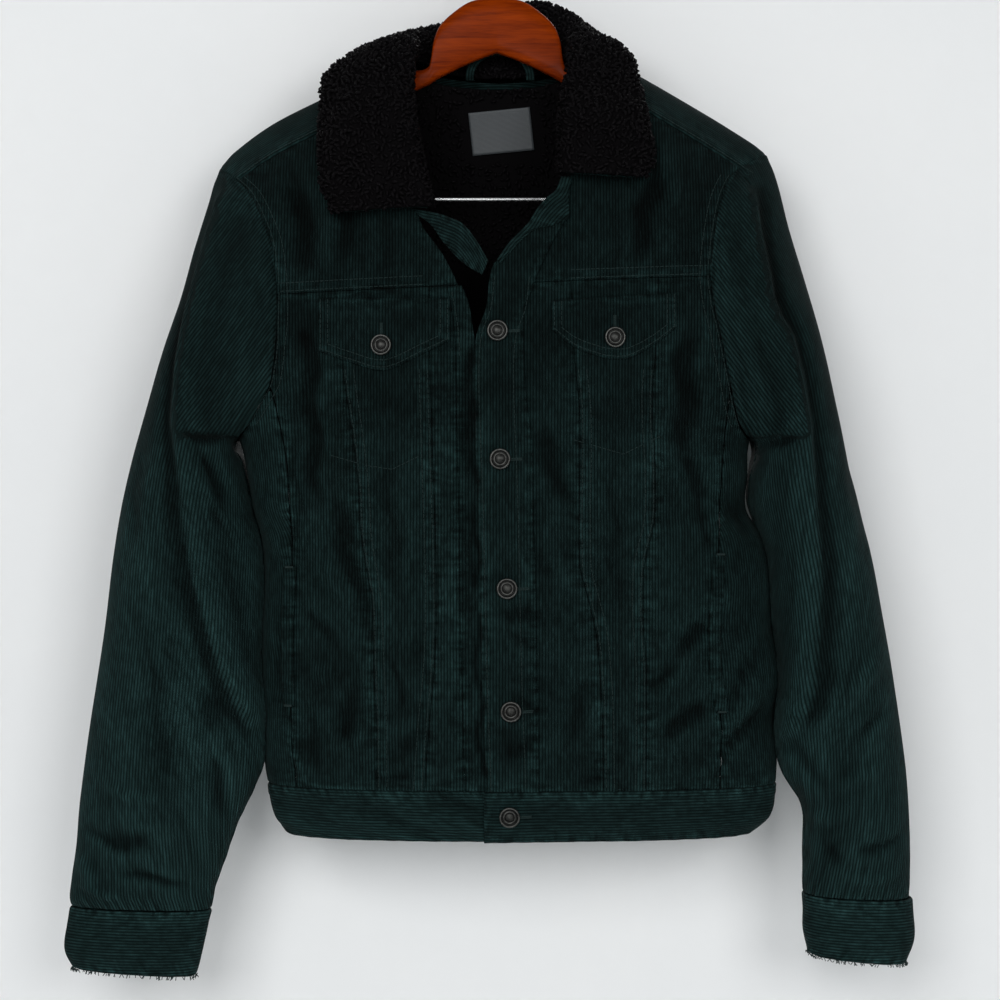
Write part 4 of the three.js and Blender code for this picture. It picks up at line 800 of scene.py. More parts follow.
def turned_facing(lines):
    """A strip between two lines of places on the front, its wales along it."""
    def place(f, v):
        sides = []
        for rows in lines:
            keyed = dict(rows, i=np.arange(len(rows["x"]), dtype=float))
            at = v * (len(rows["x"]) - 1)
            sides.append((read(keyed, "i", "x", at), read(keyed, "i", "z", at)))
        x, z = mix(sides[0][0], sides[1][0], f), mix(sides[0][1], sides[1][1], f)
        p, n = on_body(x, z)
        return p, n, np.stack([distances(p, 1), distances(p, 0)], -1)
    return place


panel("turned_facing_right", turned_facing(FACING["right"]), (14, 75), raised=2, thick=1.6, step=2.2)
panel("turned_facing_left", turned_facing(FACING["left"]), (14, 85), raised=2 * ON + 3.4, thick=1.6,
      step=2.2)

# Chest pockets and hand pockets
# A pointed flap with a button lies over each chest pocket. Each hand pocket is a slit along the
# side seam behind a narrow welt.
FLAP = {
    "right": {"sides": (-140, -36), "top": table("x z", [-140, -316], [-36, -316.5]),
              "bottom": table("x z", [-140, -357], [-115, -366], [-88, -372.5], [-58, -360], [-35, -349])},
    "left": {"sides": (42.5, 141), "top": table("x z", [42.5, -318.5], [141, -311.5]),
             "bottom": table("x z", [43, -341], [60, -354.5], [78, -361.5], [90, -364], [103, -363],
                             [122, -353], [140, -339])},
}
WELT = {"right": (-527, -637), "left": (-517, -641)}


def pocket_flap(who):
    def place(f, v):
        x = mix(*FLAP[who]["sides"], f)
        z = mix(read(FLAP[who]["top"], "x", "z", x), read(FLAP[who]["bottom"], "x", "z", x), v)
        p, n = on_body(x, z)
        return p, n, on_chart(p, girth_at(x, z))
    return place


def welt(who):
    def place(f, v):
        z = mix(*WELT[who], v)
        x = read(SEAM[f"side_{who}"], "z", "x", z) + mix(-5, 5, f)
        p, n = on_body(x, z)
        return p, n, on_chart(p, girth_at(x, z))
    return place


for who in SIGN:
    panel(f"pocket_flap_{who}", pocket_flap(who), (104, 48), raised=ON + 2, thick=2.0, fall=1.3,
          step=2.6, nap=chest_nap)
    panel(f"welt_{who}", welt(who), (10, 115), raised=ON + 2.4, thick=1.6, fall=1.2, step=2.6)

# Back
# A yoke comes over both shoulders to the front. Below it a centre panel and two sides taper to
# the waistband.
BACK_NECK = table("x z", [-77, -113], [-60, -120], [-40, -124], [0, -127], [40, -124], [58, -119],
                  [73, -112])
YOKE_ARM = 8                 # columns of the yoke's chart on each shoulder
YOKE_NECK = 10               # and across the neck
YOKE_RISE = 6                # rows before the back neck
YOKE_ROWS = 13


def yoke_place(j, i):
    """Places of the yoke at fractional columns and rows of its chart."""
    cols = YOKE_NECK + 2 * YOKE_ARM
    front_q = height_at(np.array(SHOULDER_SEAM - HALF))
    z = np.full(j.shape, -200.0)
    q = np.zeros(j.shape)
    for _ in range(24):
        hole = {who: np.where(q < 0, armhole(who, "back", z), armhole(who, "front", z)) for who in SIGN}
        high = np.maximum(z, -150)
        edges = [hole["right"] + HALF, read(SEAM["neck_right"], "z", "x", high) - HALF,
                 read(SEAM["neck_left"], "z", "x", high) + HALF, hole["left"] - HALF]
        x = np.where(j <= YOKE_ARM, mix(edges[0], edges[1], j / YOKE_ARM),
                     np.where(j <= cols - YOKE_ARM, mix(edges[1], edges[2], (j - YOKE_ARM) / YOKE_NECK),
                              mix(edges[2], edges[3], (j - cols + YOKE_ARM) / YOKE_ARM)))
        neck_z = read(BACK_NECK, "x", "z", np.clip(x, -77, 73)) - HALF
        shoulder = mix(16, 20, ease((np.abs(x) - 70) / 100))
        neck_q = np.where(np.abs(x) < 70, -height_at(ridge(x) - neck_z), -height_at(shoulder))
        low_q = -height_at(ridge(x) - (BACK_SEAM + HALF))
        q = np.where(i <= YOKE_RISE, mix(front_q, neck_q, i / YOKE_RISE),
                     mix(neck_q, low_q, (i - YOKE_RISE) / (YOKE_ROWS - YOKE_RISE)))
        z = mix(z, ridge(x) - drop_of(q), 0.7)
    p, n = body(girth_at(x, z), q)
    return p, n


FINER = 8                    # grid lines of the scene for each of the yoke's chart
yoke_j = np.linspace(0, YOKE_NECK + 2 * YOKE_ARM, (YOKE_NECK + 2 * YOKE_ARM) * FINER + 1)
yoke_i = np.linspace(0, YOKE_ROWS, YOKE_ROWS * FINER + 1)
grid_j, grid_i = np.meshgrid(yoke_j, yoke_i)
yoke_p, yoke_n = yoke_place(grid_j, grid_i)
cell_j, cell_i = np.meshgrid(yoke_j[:-1], yoke_i[:-1])
yoke_has = (cell_i >= YOKE_RISE) | (cell_j < YOKE_ARM) | (cell_j >= YOKE_NECK + YOKE_ARM)
yoke_chart = np.stack([distances(yoke_p, 0), yoke_p[..., 0]], -1)
yoke, yoke_cut = shell("back_yoke_cloth", yoke_p, yoke_n, yoke_chart, corduroy, has=yoke_has,
                       laps=("top", "bottom"))
sew(yoke, yoke_cut, "back_yoke")

under_yoke = level(BACK_SEAM - HALF)
panel("centre_back", between(on_back(SEAM["back_right"], HALF, -1), on_back(SEAM["back_left"], -HALF, -1),
                             under_yoke, level(WAIST_TOP + HALF)), (190, 415), laps=("start", "end"))


def side_back_edge(who, sign):
    """The outer edge of a back's side: the armhole, then the side seam."""
    def edge(z):
        hole = armhole(who, "back", np.maximum(z, -420))
        seam = read(SEAM[f"back_side_{who}"], "z", "x", np.minimum(z, -381))
        lower = sign * np.minimum(sign * seam, np.where(z > -420, sign * hole, np.inf))
        return 2 * sign - girth_at(np.where(z > -384, hole, lower) - sign * 0.4, z)
    return edge


for who, sign in SIGN.items():
    inner = on_back(SEAM[f"back_{who}"], sign * HALF, sign)
    panel(f"side_back_{who}", between(inner, side_back_edge(who, sign), under_yoke,
                                      level(WAIST_TOP + HALF)), (105, 415))

# Waistband
# One doubled band round the hem with its wales level, its left end buttoned over its right.
WAIST_ENDS = (-10, 13)       # x of the upper and of the lower end


def waistband(f, v):
    """The band once round, dented a little between its rows of stitches."""
    z = mix(WAIST_TOP - HALF, HEM, v)
    a = mix(girth_at(WAIST_ENDS[0], z), 4 + girth_at(WAIST_ENDS[1], z), f)    # 4 is once round
    x = centre(z) + half_width(z) * np.sin(a * QUARTER)
    p, n = body(a, height_at(ridge(x) - z))
    dents = 0.9 * np.sin(distances(p, 1) / 17 + 2.2 * np.sin(distances(p, 1) / 61)) * np.sin(v * math.pi)
    return p + n * dents[..., None], n, np.stack([distances(p, 0), distances(p, 1)], -1)


band_f, band_v = np.meshgrid(place_lines(1050, GRID), place_lines(41, 2.6))
band_p, band_n, band_chart = waistband(band_f, band_v)
band_raised = (ON + 2.3) * (1 - ease(band_f * 14))
# Painted light: the waistband is made paler.
band, band_cut = shell("waistband_cloth", band_p, band_n, band_chart, corduroy, raised=band_raised,
                       thick=2.0, fall=1.1, laps=("top",), nap=1.25)
sew(band, band_cut, "waistband")

# Sleeves
# Two panels from the armhole to the cuff, folded flat along a line that runs from the shoulder to
# the elbow. The wales follow the sleeve's outer edge.
SLEEVE = {
    "right": table(
        "ix iz ox oz y deep",
        [-211, -424.5, -227, -202.6, -5, 46], [-213, -427, -236.6, -234, -9, 50],
        [-213, -430, -246.8, -270, -11, 53], [-212.3, -434, -256.8, -311, -12, 55],
        [-207.5, -440, -269.3, -352, -13, 55], [-205, -447, -281.9, -397, -14, 54],
        [-202.6, -458, -293.1, -437, -15, 52], [-197, -482, -302.9, -478, -15, 50],
        [-189, -513, -310.2, -523, -16, 48], [-187.5, -555, -315.9, -572, -17, 46],
        [-189, -600, -321.5, -612, -19, 44], [-187, -641, -328.1, -656, -21, 42],
        [-186.5, -679, -333, -694, -23, 39], [-195, -705, -336.3, -723, -24, 36],
        [-208.5, -734, -338.5, -753, -25, 32], [-218.3, -762, -342, -777, -26, 27],
        [-226, -783.5, -343.5, -792, -27, 23], [-229.5, -802, -342.5, -799, -28, 18]),
    "left": table(
        "ix iz ox oz y deep",
        [206.5, -425.5, 220.6, -192, -5, 46], [210, -428, 229.3, -217, -9, 50],
        [210.5, -431, 237.9, -254, -11, 54], [209.9, -435, 247.2, -288, -12, 56],
        [208.8, -441, 256.2, -323, -13, 57], [206, -449, 265.4, -360, -14, 57],
        [204, -460, 274.2, -401, -15, 56], [203.5, -476, 284.2, -445, -15, 54],
        [210, -497, 294.2, -486, -16, 52], [217.5, -523, 303.2, -526, -17, 51],
        [220.5, -560, 310.2, -565, -18, 50], [225, -597, 316.2, -600, -20, 48],
        [226.5, -628, 321.2, -633, -21, 47], [223.5, -665, 325.8, -665, -22, 45],
        [230.5, -694, 329.2, -694, -23, 42], [246.2, -722, 331.2, -726, -24, 38],
        [246.5, -755, 332.2, -759, -25, 33], [246.5, -789, 331.7, -792, -26, 27]),
}
CUFF = {
    "right": table("ix iz ox oz y deep", [-229.5, -803, -342.5, -800, -28, 18],
                   [-233, -818, -345.5, -816, -28, 18], [-237, -836, -347.5, -834, -28, 17.5],
                   [-242, -856, -341, -849, -28, 16]),
    "left": table("ix iz ox oz y deep", [246.5, -790, 333.5, -793, -26, 27],
                  [247, -805, 335, -809, -26, 27], [247, -820, 335.5, -826, -26, 26],
                  [251, -838, 329, -845, -26, 24]),
}
HEAD_BLEND = 4.5             # rings over which the head passes from the armhole's line
SLEEVE_POWER = 2.3           # how boxy a sleeve is across
SLEEVE_CREASES = table(
    "x0 z0 x1 z1 width out back",
    [-240, -424, -212, -492, 9, -5, 0], [-222, -655, -232, -620, 10, -4, 0],
    [-224, -675, -214, -730, 9, -4, 0], [-310, -736, -272, -748, 9, -4, 0],
    [-335, -760, -322, -783, 8, 4, 0], [240, -635, 226, -660, 10, 4, 0],
    [300, -600, 262, -638, 10, 4, 0], [228, -660, 256, -700, 9, -4, 0],
    [248, -722, 276, -722, 9, 4, 0], [262, -745, 270, -765, 9, -4, 0],
    [-300, -420, -240, -455, 16, -6, 1], [-315, -520, -230, -545, 16, 5, 1],
    [-320, -640, -240, -620, 16, -5, 1],
    [290, -410, 240, -450, 16, -6, 1], [305, -520, 240, -545, 16, 5, 1],
    [320, -650, 250, -630, 16, -5, 1])
SLEEVE_FINE = table(
    "x0 z0 x1 z1 width out back",
    [-236, -440, -222, -490, 4, 1.8, 0], [-280, -420, -292, -520, 7, -1.2, 0],
    [-270, -600, -262, -700, 7, -1.2, 0], [-312, -700, -262, -712, 5, 1.4, 0],
    [-330, -735, -286, -752, 4.5, -1.6, 0], [-300, -770, -246, -778, 4, -1.5, 0],
    [-334, -782, -300, -788, 3.6, 1.4, 0], [-244, -700, -232, -760, 5, 1.4, 0],
    [-222, -620, -206, -690, 5, -1.4, 0],
    [-250, -421, -212, -426, 5, -3.0, 0], [214, -428, 238, -424, 5, -2.6, 0],
    [226, -390, 240, -400, 4, 1.6, 0], [280, -420, 292, -520, 7, -1.2, 0],
    [284, -560, 270, -610, 6, 1.2, 0], [310, -640, 280, -660, 5, -1.6, 0],
    [300, -690, 262, -700, 5, 1.4, 0], [322, -740, 284, -752, 4.5, -1.6, 0],
    [318, -772, 270, -776, 4, 1.5, 0], [236, -700, 246, -760, 5, -1.4, 0],
    [-290, -380, -250, -420, 6, 1.6, 1], [-310, -570, -250, -600, 6, -1.6, 1],
    [-320, -700, -250, -720, 6, 1.5, 1], [290, -380, 250, -420, 6, 1.6, 1],
    [310, -580, 250, -600, 6, -1.6, 1], [320, -710, 260, -730, 6, 1.5, 1])


# The pressed fold of each sleeve, from the shoulder to the elbow, and a second one at its crook,
# each with its half width and how far it stands out.
FOLDS = {
    "right": [
        (table("x z", [-219, -221], [-230, -264], [-241, -319], [-248, -369], [-251, -412], [-247, -442],
               [-243, -483], [-234, -537], [-228, -562], [-216, -605], [-203, -634],
               [-190, -660]), 15, 8.0),
        (table("x z", [-248, -423], [-242, -433], [-236, -448], [-229, -465], [-213, -494],
               [-203, -508]), 7, 3.0)],
    "left": [
        (table("x z", [202, -220], [205, -259], [211, -298], [213, -317], [219, -332], [228, -347],
               [235, -376], [241, -412], [246, -474], [250, -524], [250, -569], [246, -615],
               [243, -634], [232, -655]), 15, 8.0),
        (table("x z", [220, -391], [230, -401], [238, -406]), 6, 3.0)],
}


def fold_lift(who, x, z):
    """How far the folds stand out: soft on the body's side and steep on the outer side."""
    total = np.zeros(np.shape(x))
    steep = 0.3                  # of a fold's width, on its outer side
    behind = 0.62                # of its width, from the fold to the hollow beyond it
    for line, width, out in FOLDS[who]:
        best, beyond = np.full(np.shape(x), 1e9), np.zeros(np.shape(x))
        for k in range(len(line["x"]) - 1):
            x0, z0 = line["x"][k], line["z"][k]
            dx, dz = line["x"][k + 1] - x0, line["z"][k + 1] - z0
            t = np.clip(((x - x0) * dx + (z - z0) * dz) / (dx * dx + dz * dz), 0, 1)
            away = np.hypot(x - x0 - t * dx, z - z0 - t * dz)
            outer = SIGN[who] * (x - x0 - t * dx) > 0
            beyond = np.where(away < best, outer, beyond)
            best = np.minimum(away, best)
        ends = ease((line["z"][0] + 6 - z) / 25) * ease((z - line["z"][-1] + 6) / 30)
        total += out * ends * np.exp(-(best / np.where(beyond, width * steep, width)) ** 2)
        hollow = np.exp(-((best - width * behind) / (width * 0.35)) ** 2)
        total -= 0.45 * out * ends * np.where(beyond, hollow, 0)
    return total


def ring_point(rows, t, angle):
    """Point of a tube of rings: t along it, angle round it from its outer side by the front."""
    keyed = dict(rows, i=np.arange(len(rows["y"]), dtype=float))
    at = {column: read(keyed, "i", column, t) for column in rows}
    c, s = (np.sign(w) * np.abs(w) ** (2 / SLEEVE_POWER) for w in (np.cos(angle), np.sin(angle)))
    x = (at["ix"] + at["ox"]) / 2 + c * (at["ox"] - at["ix"]) / 2
    z = (at["iz"] + at["oz"]) / 2 + c * (at["oz"] - at["iz"]) / 2
    return np.stack([x, at["y"] - s * at["deep"], z], -1)


def armhole_point(who, angle):
    """Point of the armhole's seam at an angle round it."""
    sign = SIGN[who]
    z = mix(SLEEVE[who]["iz"][0], SLEEVE[who]["oz"][0], (1 + np.cos(angle)) / 2)
    in_front = np.sin(angle) >= 0
    x = np.where(in_front, armhole(who, "front", z), armhole(who, "back", z))
    a = np.where(in_front, girth_at(x, z), 2 * sign - girth_at(x, z))
    p, _ = body(a, height_at(ridge(x) - z), 0.0)
    return p + np.array([sign * ARMHOLE_GAP, 0, 0])


def sleeve_point(who, t, angle):
    """Point of a sleeve, which starts on the armhole and passes into its own rings."""
    weight = (1 - ease(t / HEAD_BLEND))[..., None]
    shift = armhole_point(who, angle) - ring_point(SLEEVE[who], np.zeros_like(t), angle)
    return ring_point(SLEEVE[who], t, angle) + shift * weight


def tube(point, sign, t, angle, creased):
    """Points and outward normals of a sleeve or cuff, creased where asked."""
    along = point(t + 0.06, angle) - point(np.maximum(t - 0.06, 0), angle)
    turn = point(t, angle + 0.03) - point(t, angle - 0.03)
    n = -sign * unit(np.cross(along, turn))
    p = point(t, angle)
    if creased:
        behind = np.sin(angle) < 0
        facing = np.abs(np.sin(angle)) ** 0.5
        fade = ease(t / 2) * ease((17 - t) / 1.5)
        lift = crease_sum(SLEEVE_CREASES, p[..., 0], p[..., 2], behind) * fade
        lift = lift + 1.8 * crease_sum(SLEEVE_FINE, p[..., 0], p[..., 2], behind) * ease((17 - t) / 0.6)
        lift = lift + 2.2 * np.exp(-((t - 0.45) / 0.4) ** 2)
        lift = lift + np.where(behind, 0, fold_lift("left" if sign > 0 else "right", p[..., 0], p[..., 2]))
        p = p + n * (lift * facing)[..., None]
    return p, n


def round_sleeve(who, t, angle):
    """Length round a sleeve across its own direction, from its outer edge."""
    ts, angles = np.linspace(0, 17, 86), np.radians(np.arange(-40, 331, 2.0))
    grid_angle, grid_t = np.meshgrid(angles, ts)
    p = sleeve_point(who, grid_t, grid_angle)
    outer = p[:, 20][:, [0, 2]]
    away = np.linalg.norm(p[:, :, None, [0, 2]] - outer[None, None], axis=-1).min(axis=2)
    flat = np.stack([away, p[..., 1]], -1)
    length = distances(flat, 1)
    length = length - length[:, [20]]
    return lookup(length, t / 17 * 85, (np.degrees(angle) + 40) / 2)


SLANT = math.radians(36)     # of the wales between the fold and the armhole


def sleeve_chart(who, p, around, angle):
    """Map of a sleeve: wales along its outer edge, and aslant between the fold and the armhole."""
    down = distances(p, 0)
    line = FOLDS[who][0][0]
    fold_x = read(line, "z", "x", np.clip(p[..., 2], -655, -221))
    within = (SIGN[who] * (p[..., 0] - fold_x) < 0) & (np.sin(angle) > -0.3) & (p[..., 2] > -424)
    aslant = p[..., 0] * math.cos(SLANT) + SIGN[who] * p[..., 2] * math.sin(SLANT)
    return np.stack([np.where(within, aslant, around), down], -1)


HALVES = {"front": (-35, 175), "back": (175, 325)}
for who, sign in SIGN.items():
    for half, (start, end) in HALVES.items():
        def sleeve(f, v, who=who, sign=sign, start=start, end=end):
            gap = 0.4 + 0.3 * (1 - ease(v * 5))
            angle = np.radians(mix(start + gap, end - gap, f))
            p, n = tube(lambda t, w: sleeve_point(who, t, w), sign, v * 17, angle, True)
            return p, n, sleeve_chart(who, p, round_sleeve(who, v * 17, angle), angle)
        # Painted light and shade: each sleeve is made darker at its head and paler towards the cuff.
        panel(f"sleeve_{half}_{who}", sleeve, (230 if half == "front" else 150, 560), fall=0.5,
              nap=lambda p: mix(0.85, 1.55, ease((-330 - p[..., 2]) / 260)))

    def cuff(f, v, who=who, sign=sign):
        p, n = tube(lambda t, w: ring_point(CUFF[who], t, w), sign, v * 3, f * 2 * math.pi, False)
        return p, n, np.stack([distances(p, 0), distances(p, 1)], -1)
    cuff_f, cuff_v = np.meshgrid(np.linspace(0, 1, 89), place_lines(54, 2.6))
    cuff_p, cuff_n, cuff_chart = cuff(cuff_f, cuff_v)
    # Painted light: the cuffs are made paler.
    cuff_piece, cuff_cut = shell(f"cuff_{who}_cloth", cuff_p, cuff_n, cuff_chart, corduroy, raised=0.3,
                                 around=True, nap=1.3)
    sew(cuff_piece, cuff_cut, f"cuff_{who}")

# Collar
# Black fleece with curled wool-like tufts on a knit backing, cut in one with the corduroy
# undercollar, and rolled over from a stand at the neck seam.
# Along the neck: the seam (n), the top of the roll (r) and the leaf's edge (e), b where they lie
# on the back, and how far the edge stands clear.
COLLAR = table(
    "nx nz nb rx ry rz ex ez eb clear",
    [-60, -246, 0, -84, -86, -248, -129, -250, 0, 5], [-66, -222, 0, -92, -86, -225, -138, -228, 0, 5],
    [-74, -186, 0, -98, -80, -190, -140, -198, 0, 6], [-79, -150, 0, -100, -62, -150, -139, -170, 0, 9],
    [-80, -122, 0, -96, -24, -106, -136, -149, 0, 16], [-74, -115, 1, -82, 22, -88, -123, -145, 1, 17],
    [-44, -123, 1, -52, 44, -76, -74, -150, 1, 14], [0, -126, 1, 0, 50, -67, 0, -152, 1, 14],
    [42, -123, 1, 48, 44, -58, 66, -148, 1, 14], [64, -114, 1, 80, 20, -84, 102, -141, 1, 12],
    [68, -121, 0, 88, -22, -104, 108, -140, 0, 11], [63, -148, 0, 88, -58, -146, 114, -158, 0, 9],
    [59, -172, 0, 86, -77, -172, 119, -180, 0, 6], [58, -198, 0, 86, -83, -198, 123, -204, 0, 5],
    [57, -219, 0, 84, -86, -221, 117, -222, 0, 5])
COLLAR_PILE = 4.5
COLLAR_LEAN = 0.5            # how far the roll leans towards the leaf
COLLAR_SET = 11.5            # seam of the stand inside the neck
SHARP_TURN = 0.66            # where along the neck's arch the undercollar bends most


def collar_point(f, v):
    """Arch from the neck seam over the roll to the leaf's edge; f runs along the neck."""
    keyed = dict(COLLAR, i=np.arange(len(COLLAR["nx"]), dtype=float))
    at = {column: read(keyed, "i", column, f * (len(COLLAR["nx"]) - 1)) for column in COLLAR}

    def spot(x, z, back):
        turn = np.where(back > 0.5, -1, 1)
        return body(girth_at(x, z), height_at(ridge(x) - z) * turn, 0.0)

    seam, _ = spot(at["nx"], at["nz"], at["nb"])
    inward = unit(np.stack([-seam[..., 0], -0.45 * seam[..., 1], np.zeros(seam.shape[:-1])], -1))
    seam = seam + inward * COLLAR_SET + np.array([0, 0, 2.0])
    leaf, leaf_n = spot(at["ex"], at["ez"], at["eb"])
    chord = leaf + leaf_n * at["clear"][..., None] - seam
    reach = np.linalg.norm(chord, axis=-1) / 2
    rise = np.stack([at["rx"], at["ry"], at["rz"]], -1) - (seam + chord / 2)
    high = np.linalg.norm(rise, axis=-1)
    rise = rise / high[..., None]
    rounded = np.minimum(high, reach)
    straight = high - rounded
    bend = math.pi * (reach + rounded) / 2
    s = v * (2 * straight + bend)
    w = math.pi * np.clip((s - straight) / bend, 0, 1)
    lift = straight - np.maximum(0, straight - s) - np.maximum(0, s - straight - bend)
    across = ((1 - np.cos(w)) / 2) ** (1 + COLLAR_LEAN * np.clip(1.5 - high / reach, 0, 1))
    return seam + chord * across[..., None] + rise * (lift + rounded * np.sin(w))[..., None]


def collar_surface(f, v):
    along = collar_point(np.minimum(f + 0.01, 1), v) - collar_point(np.maximum(f - 0.01, 0), v)
    over = collar_point(f, np.minimum(v + 0.02, 1)) - collar_point(f, np.maximum(v - 0.02, 0))
    return collar_point(f, v), unit(np.cross(along, over))


def fleece_cloth():
    """Polyester fleece: matt black fibres in curled tufts, faintly glossy where they bend."""
    made, tree = new_material("sherpa_fleece")
    place = add_node(tree, "ShaderNodeTexCoord")
    clump = add_node(tree, "ShaderNodeTexNoise", {"Vector": place.outputs["Object"], "Scale": 240.0,
                                                  "Detail": 3.0})
    hair = add_node(tree, "ShaderNodeTexNoise", {"Vector": place.outputs["Object"], "Scale": 2600.0})
    colour = add_node(tree, "ShaderNodeMix", {0: clump.outputs["Fac"], 6: linear("#020102"),
                                              7: linear("#0a080a")}, data_type="RGBA")
    relief = add_node(tree, "ShaderNodeBump", {"Height": hair.outputs["Fac"], "Strength": 0.7,
                                               "Distance": 0.4 * MM})
    surface = add_node(tree, "ShaderNodeBsdfPrincipled", {
        "Base Color": colour.outputs[2], "Roughness": 0.6, "Specular IOR Level": 0.06,
        "Normal": relief.outputs[0]})
    add_node(tree, "ShaderNodeOutputMaterial", {"Surface": surface.outputs[0]})
    return made


def tufts_tree(material):
    """Geometry Nodes: small bent tufts set thickly over a surface, leaning at random."""
    tree = bpy.data.node_groups.new("fleece_tufts", "GeometryNodeTree")
    tree.interface.new_socket("Geometry", in_out="INPUT", socket_type="NodeSocketGeometry")
    for name, value in (("Spacing", 2.8 * MM), ("Tuft size", 1.6 * MM), ("Fibre", 1.3 * MM)):
        size = tree.interface.new_socket(name, in_out="INPUT", socket_type="NodeSocketFloat")
        size.default_value = value
    tree.interface.new_socket("Geometry", in_out="OUTPUT", socket_type="NodeSocketGeometry")
    given = add_node(tree, "NodeGroupInput")
    every = add_node(tree, "ShaderNodeMath", {0: given.outputs["Spacing"], 1: given.outputs["Spacing"]},
                     operation="MULTIPLY")
    density = add_node(tree, "ShaderNodeMath", {0: 1.1, 1: every.outputs[0]}, operation="DIVIDE")
    points = add_node(tree, "GeometryNodeDistributePointsOnFaces",
                      {"Mesh": given.outputs["Geometry"], "Distance Min": given.outputs["Spacing"],
                       "Density Max": density.outputs[0], "Seed": 7}, distribute_method="POISSON")
    spine = add_node(tree, "GeometryNodeCurveArc", {"Resolution": 4, "Radius": given.outputs["Tuft size"],
                                                    "Sweep Angle": math.radians(215)})
    ring = add_node(tree, "GeometryNodeCurvePrimitiveCircle", {"Resolution": 4,
                                                               "Radius": given.outputs["Fibre"]})
    tuft = add_node(tree, "GeometryNodeCurveToMesh",
                    {"Curve": spine.outputs["Curve"], "Profile Curve": ring.outputs["Curve"],
                     "Fill Caps": True})
    stood = add_node(tree, "GeometryNodeTransform", {"Geometry": tuft.outputs[0],
                                                     "Rotation": (math.pi / 2, math.radians(18), 0)})
    spin = add_node(tree, "FunctionNodeRandomValue", {"Min": (-0.5, -0.5, 0.0), "Max": (0.5, 0.5, 6.28),
                                                      "Seed": 3}, data_type="FLOAT_VECTOR")
    size = add_node(tree, "FunctionNodeRandomValue", {2: 0.7, 3: 1.25, "Seed": 5}, data_type="FLOAT")
    turned = add_node(tree, "FunctionNodeEulerToRotation", {0: spin.outputs[0]})
    facing = add_node(tree, "FunctionNodeRotateRotation",
                      {0: points.outputs["Rotation"], 1: turned.outputs[0]}, rotation_space="LOCAL")
    placed = add_node(tree, "GeometryNodeInstanceOnPoints",
                      {"Points": points.outputs["Points"], "Instance": stood.outputs[0],
                       "Rotation": facing.outputs[0], "Scale": size.outputs[1]})
    real = add_node(tree, "GeometryNodeRealizeInstances", {0: placed.outputs[0]})
    coat = add_node(tree, "GeometryNodeSetMaterial", {0: real.outputs[0], "Material": material})
    smooth = add_node(tree, "GeometryNodeSetShadeSmooth", {0: coat.outputs[0]})
    add_node(tree, "NodeGroupOutput", {0: smooth.outputs[0]})
    return tree


def grown(name, base, tree, **sizes):
    """What a tree makes on a base object, as a plain mesh that rides on the jacket."""
    change = base.modifiers.new("grow", "NODES")
    change.node_group = tree
    for item in tree.interface.items_tree:
        if item.in_out == "INPUT" and item.name in sizes:
            change[item.identifier] = sizes[item.name]
    bpy.context.view_layer.update()
    mesh = bpy.data.meshes.new_from_object(base.evaluated_get(bpy.context.evaluated_depsgraph_get()))
    base.modifiers.remove(change)
    made = bpy.data.objects.new(name, mesh)
    mesh.name = name
    bpy.context.scene.collection.objects.link(made)
    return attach(made, "root")


def bare_surface(name, p, n, kept=None):
    """A one-sided grid that faces along n, only carries points, and isn't shown itself."""
    rows, cols = p.shape[:2]
    ids = np.arange(rows * cols).reshape(rows, cols)
    quads = np.stack([ids[:-1, :-1], ids[1:, :-1], ids[1:, 1:], ids[:-1, 1:]], -1)
    quads = (quads if kept is None else quads[kept[:-1, :-1]]).reshape(-1, 4)
    facing = np.cross(p[1:, 1:] - p[:-1, :-1], p[:-1, 1:] - p[1:, :-1])
    if np.einsum("ijk,ijk->", facing, n[:-1, :-1]) < 0:
        quads = quads[:, ::-1]
    mesh = bpy.data.meshes.new(name)
    mesh.from_pydata((p.reshape(-1, 3) * MM).tolist(), [], quads.tolist())
    made = bpy.data.objects.new(name, mesh)
    bpy.context.scene.collection.objects.link(made)
    return made


def knit_backing():
    """Black knit that the tufts grow from; it hardly shows between them."""
    made, tree = new_material("fleece_backing_knit")
    surface = add_node(tree, "ShaderNodeBsdfDiffuse", {"Color": linear("#0b0a0b")})
    add_node(tree, "ShaderNodeOutputMaterial", {"Surface": surface.outputs[0]})
    return made


fleece, backing = fleece_cloth(), knit_backing()
tufts = tufts_tree(fleece)
collar_f, collar_v = np.meshgrid(np.linspace(0, 1, 61), np.linspace(0, 1, 161))
collar_p, collar_n = collar_surface(collar_v, collar_f)
collar_across, collar_along = distances(collar_p, 1), distances(collar_p, 0)
lumps = (0.7 * np.sin(collar_across / 2.3 + 3 * np.sin(collar_along / 7))
         * np.sin(collar_along / 2.6 + 3 * np.sin(collar_across / 6)))
collar_chart = np.stack([collar_across, collar_along], -1)
collar, collar_cut = shell("collar_fleece", collar_p + collar_n * (lumps - 0.6)[..., None], collar_n,
                           collar_chart, backing, thick=COLLAR_PILE - 0.8, wrinkle=0)
sew(collar, collar_cut, "sherpa_collar", slot="sherpa")
carrier = bare_surface("collar_carrier", collar_p + collar_n * -0.4, collar_n)
collar_tufts = grown("collar_tufts", carrier, tufts)
bpy.data.objects.remove(carrier)


def undercollar(f, v):
    """The corduroy under the fleece, a little short of its edges."""
    arch = mix(1 / 8, 7 / 8, f)
    gap = -COLLAR_PILE - 1.15 - 2.28 * ease(v * 2) * np.exp(-((arch - SHARP_TURN) / 0.14) ** 2)
    p, n = collar_surface(v, arch)
    return p + n * gap[..., None], n, np.stack([distances(p, 0), distances(p, 1)], -1)


panel("undercollar", undercollar, (130, 560), thick=1.0, fall=0.4)

# Lining, label and loop
# The body is lined with the same fleece. A bare woven label and a corduroy loop are sewn in at
# the back neck.


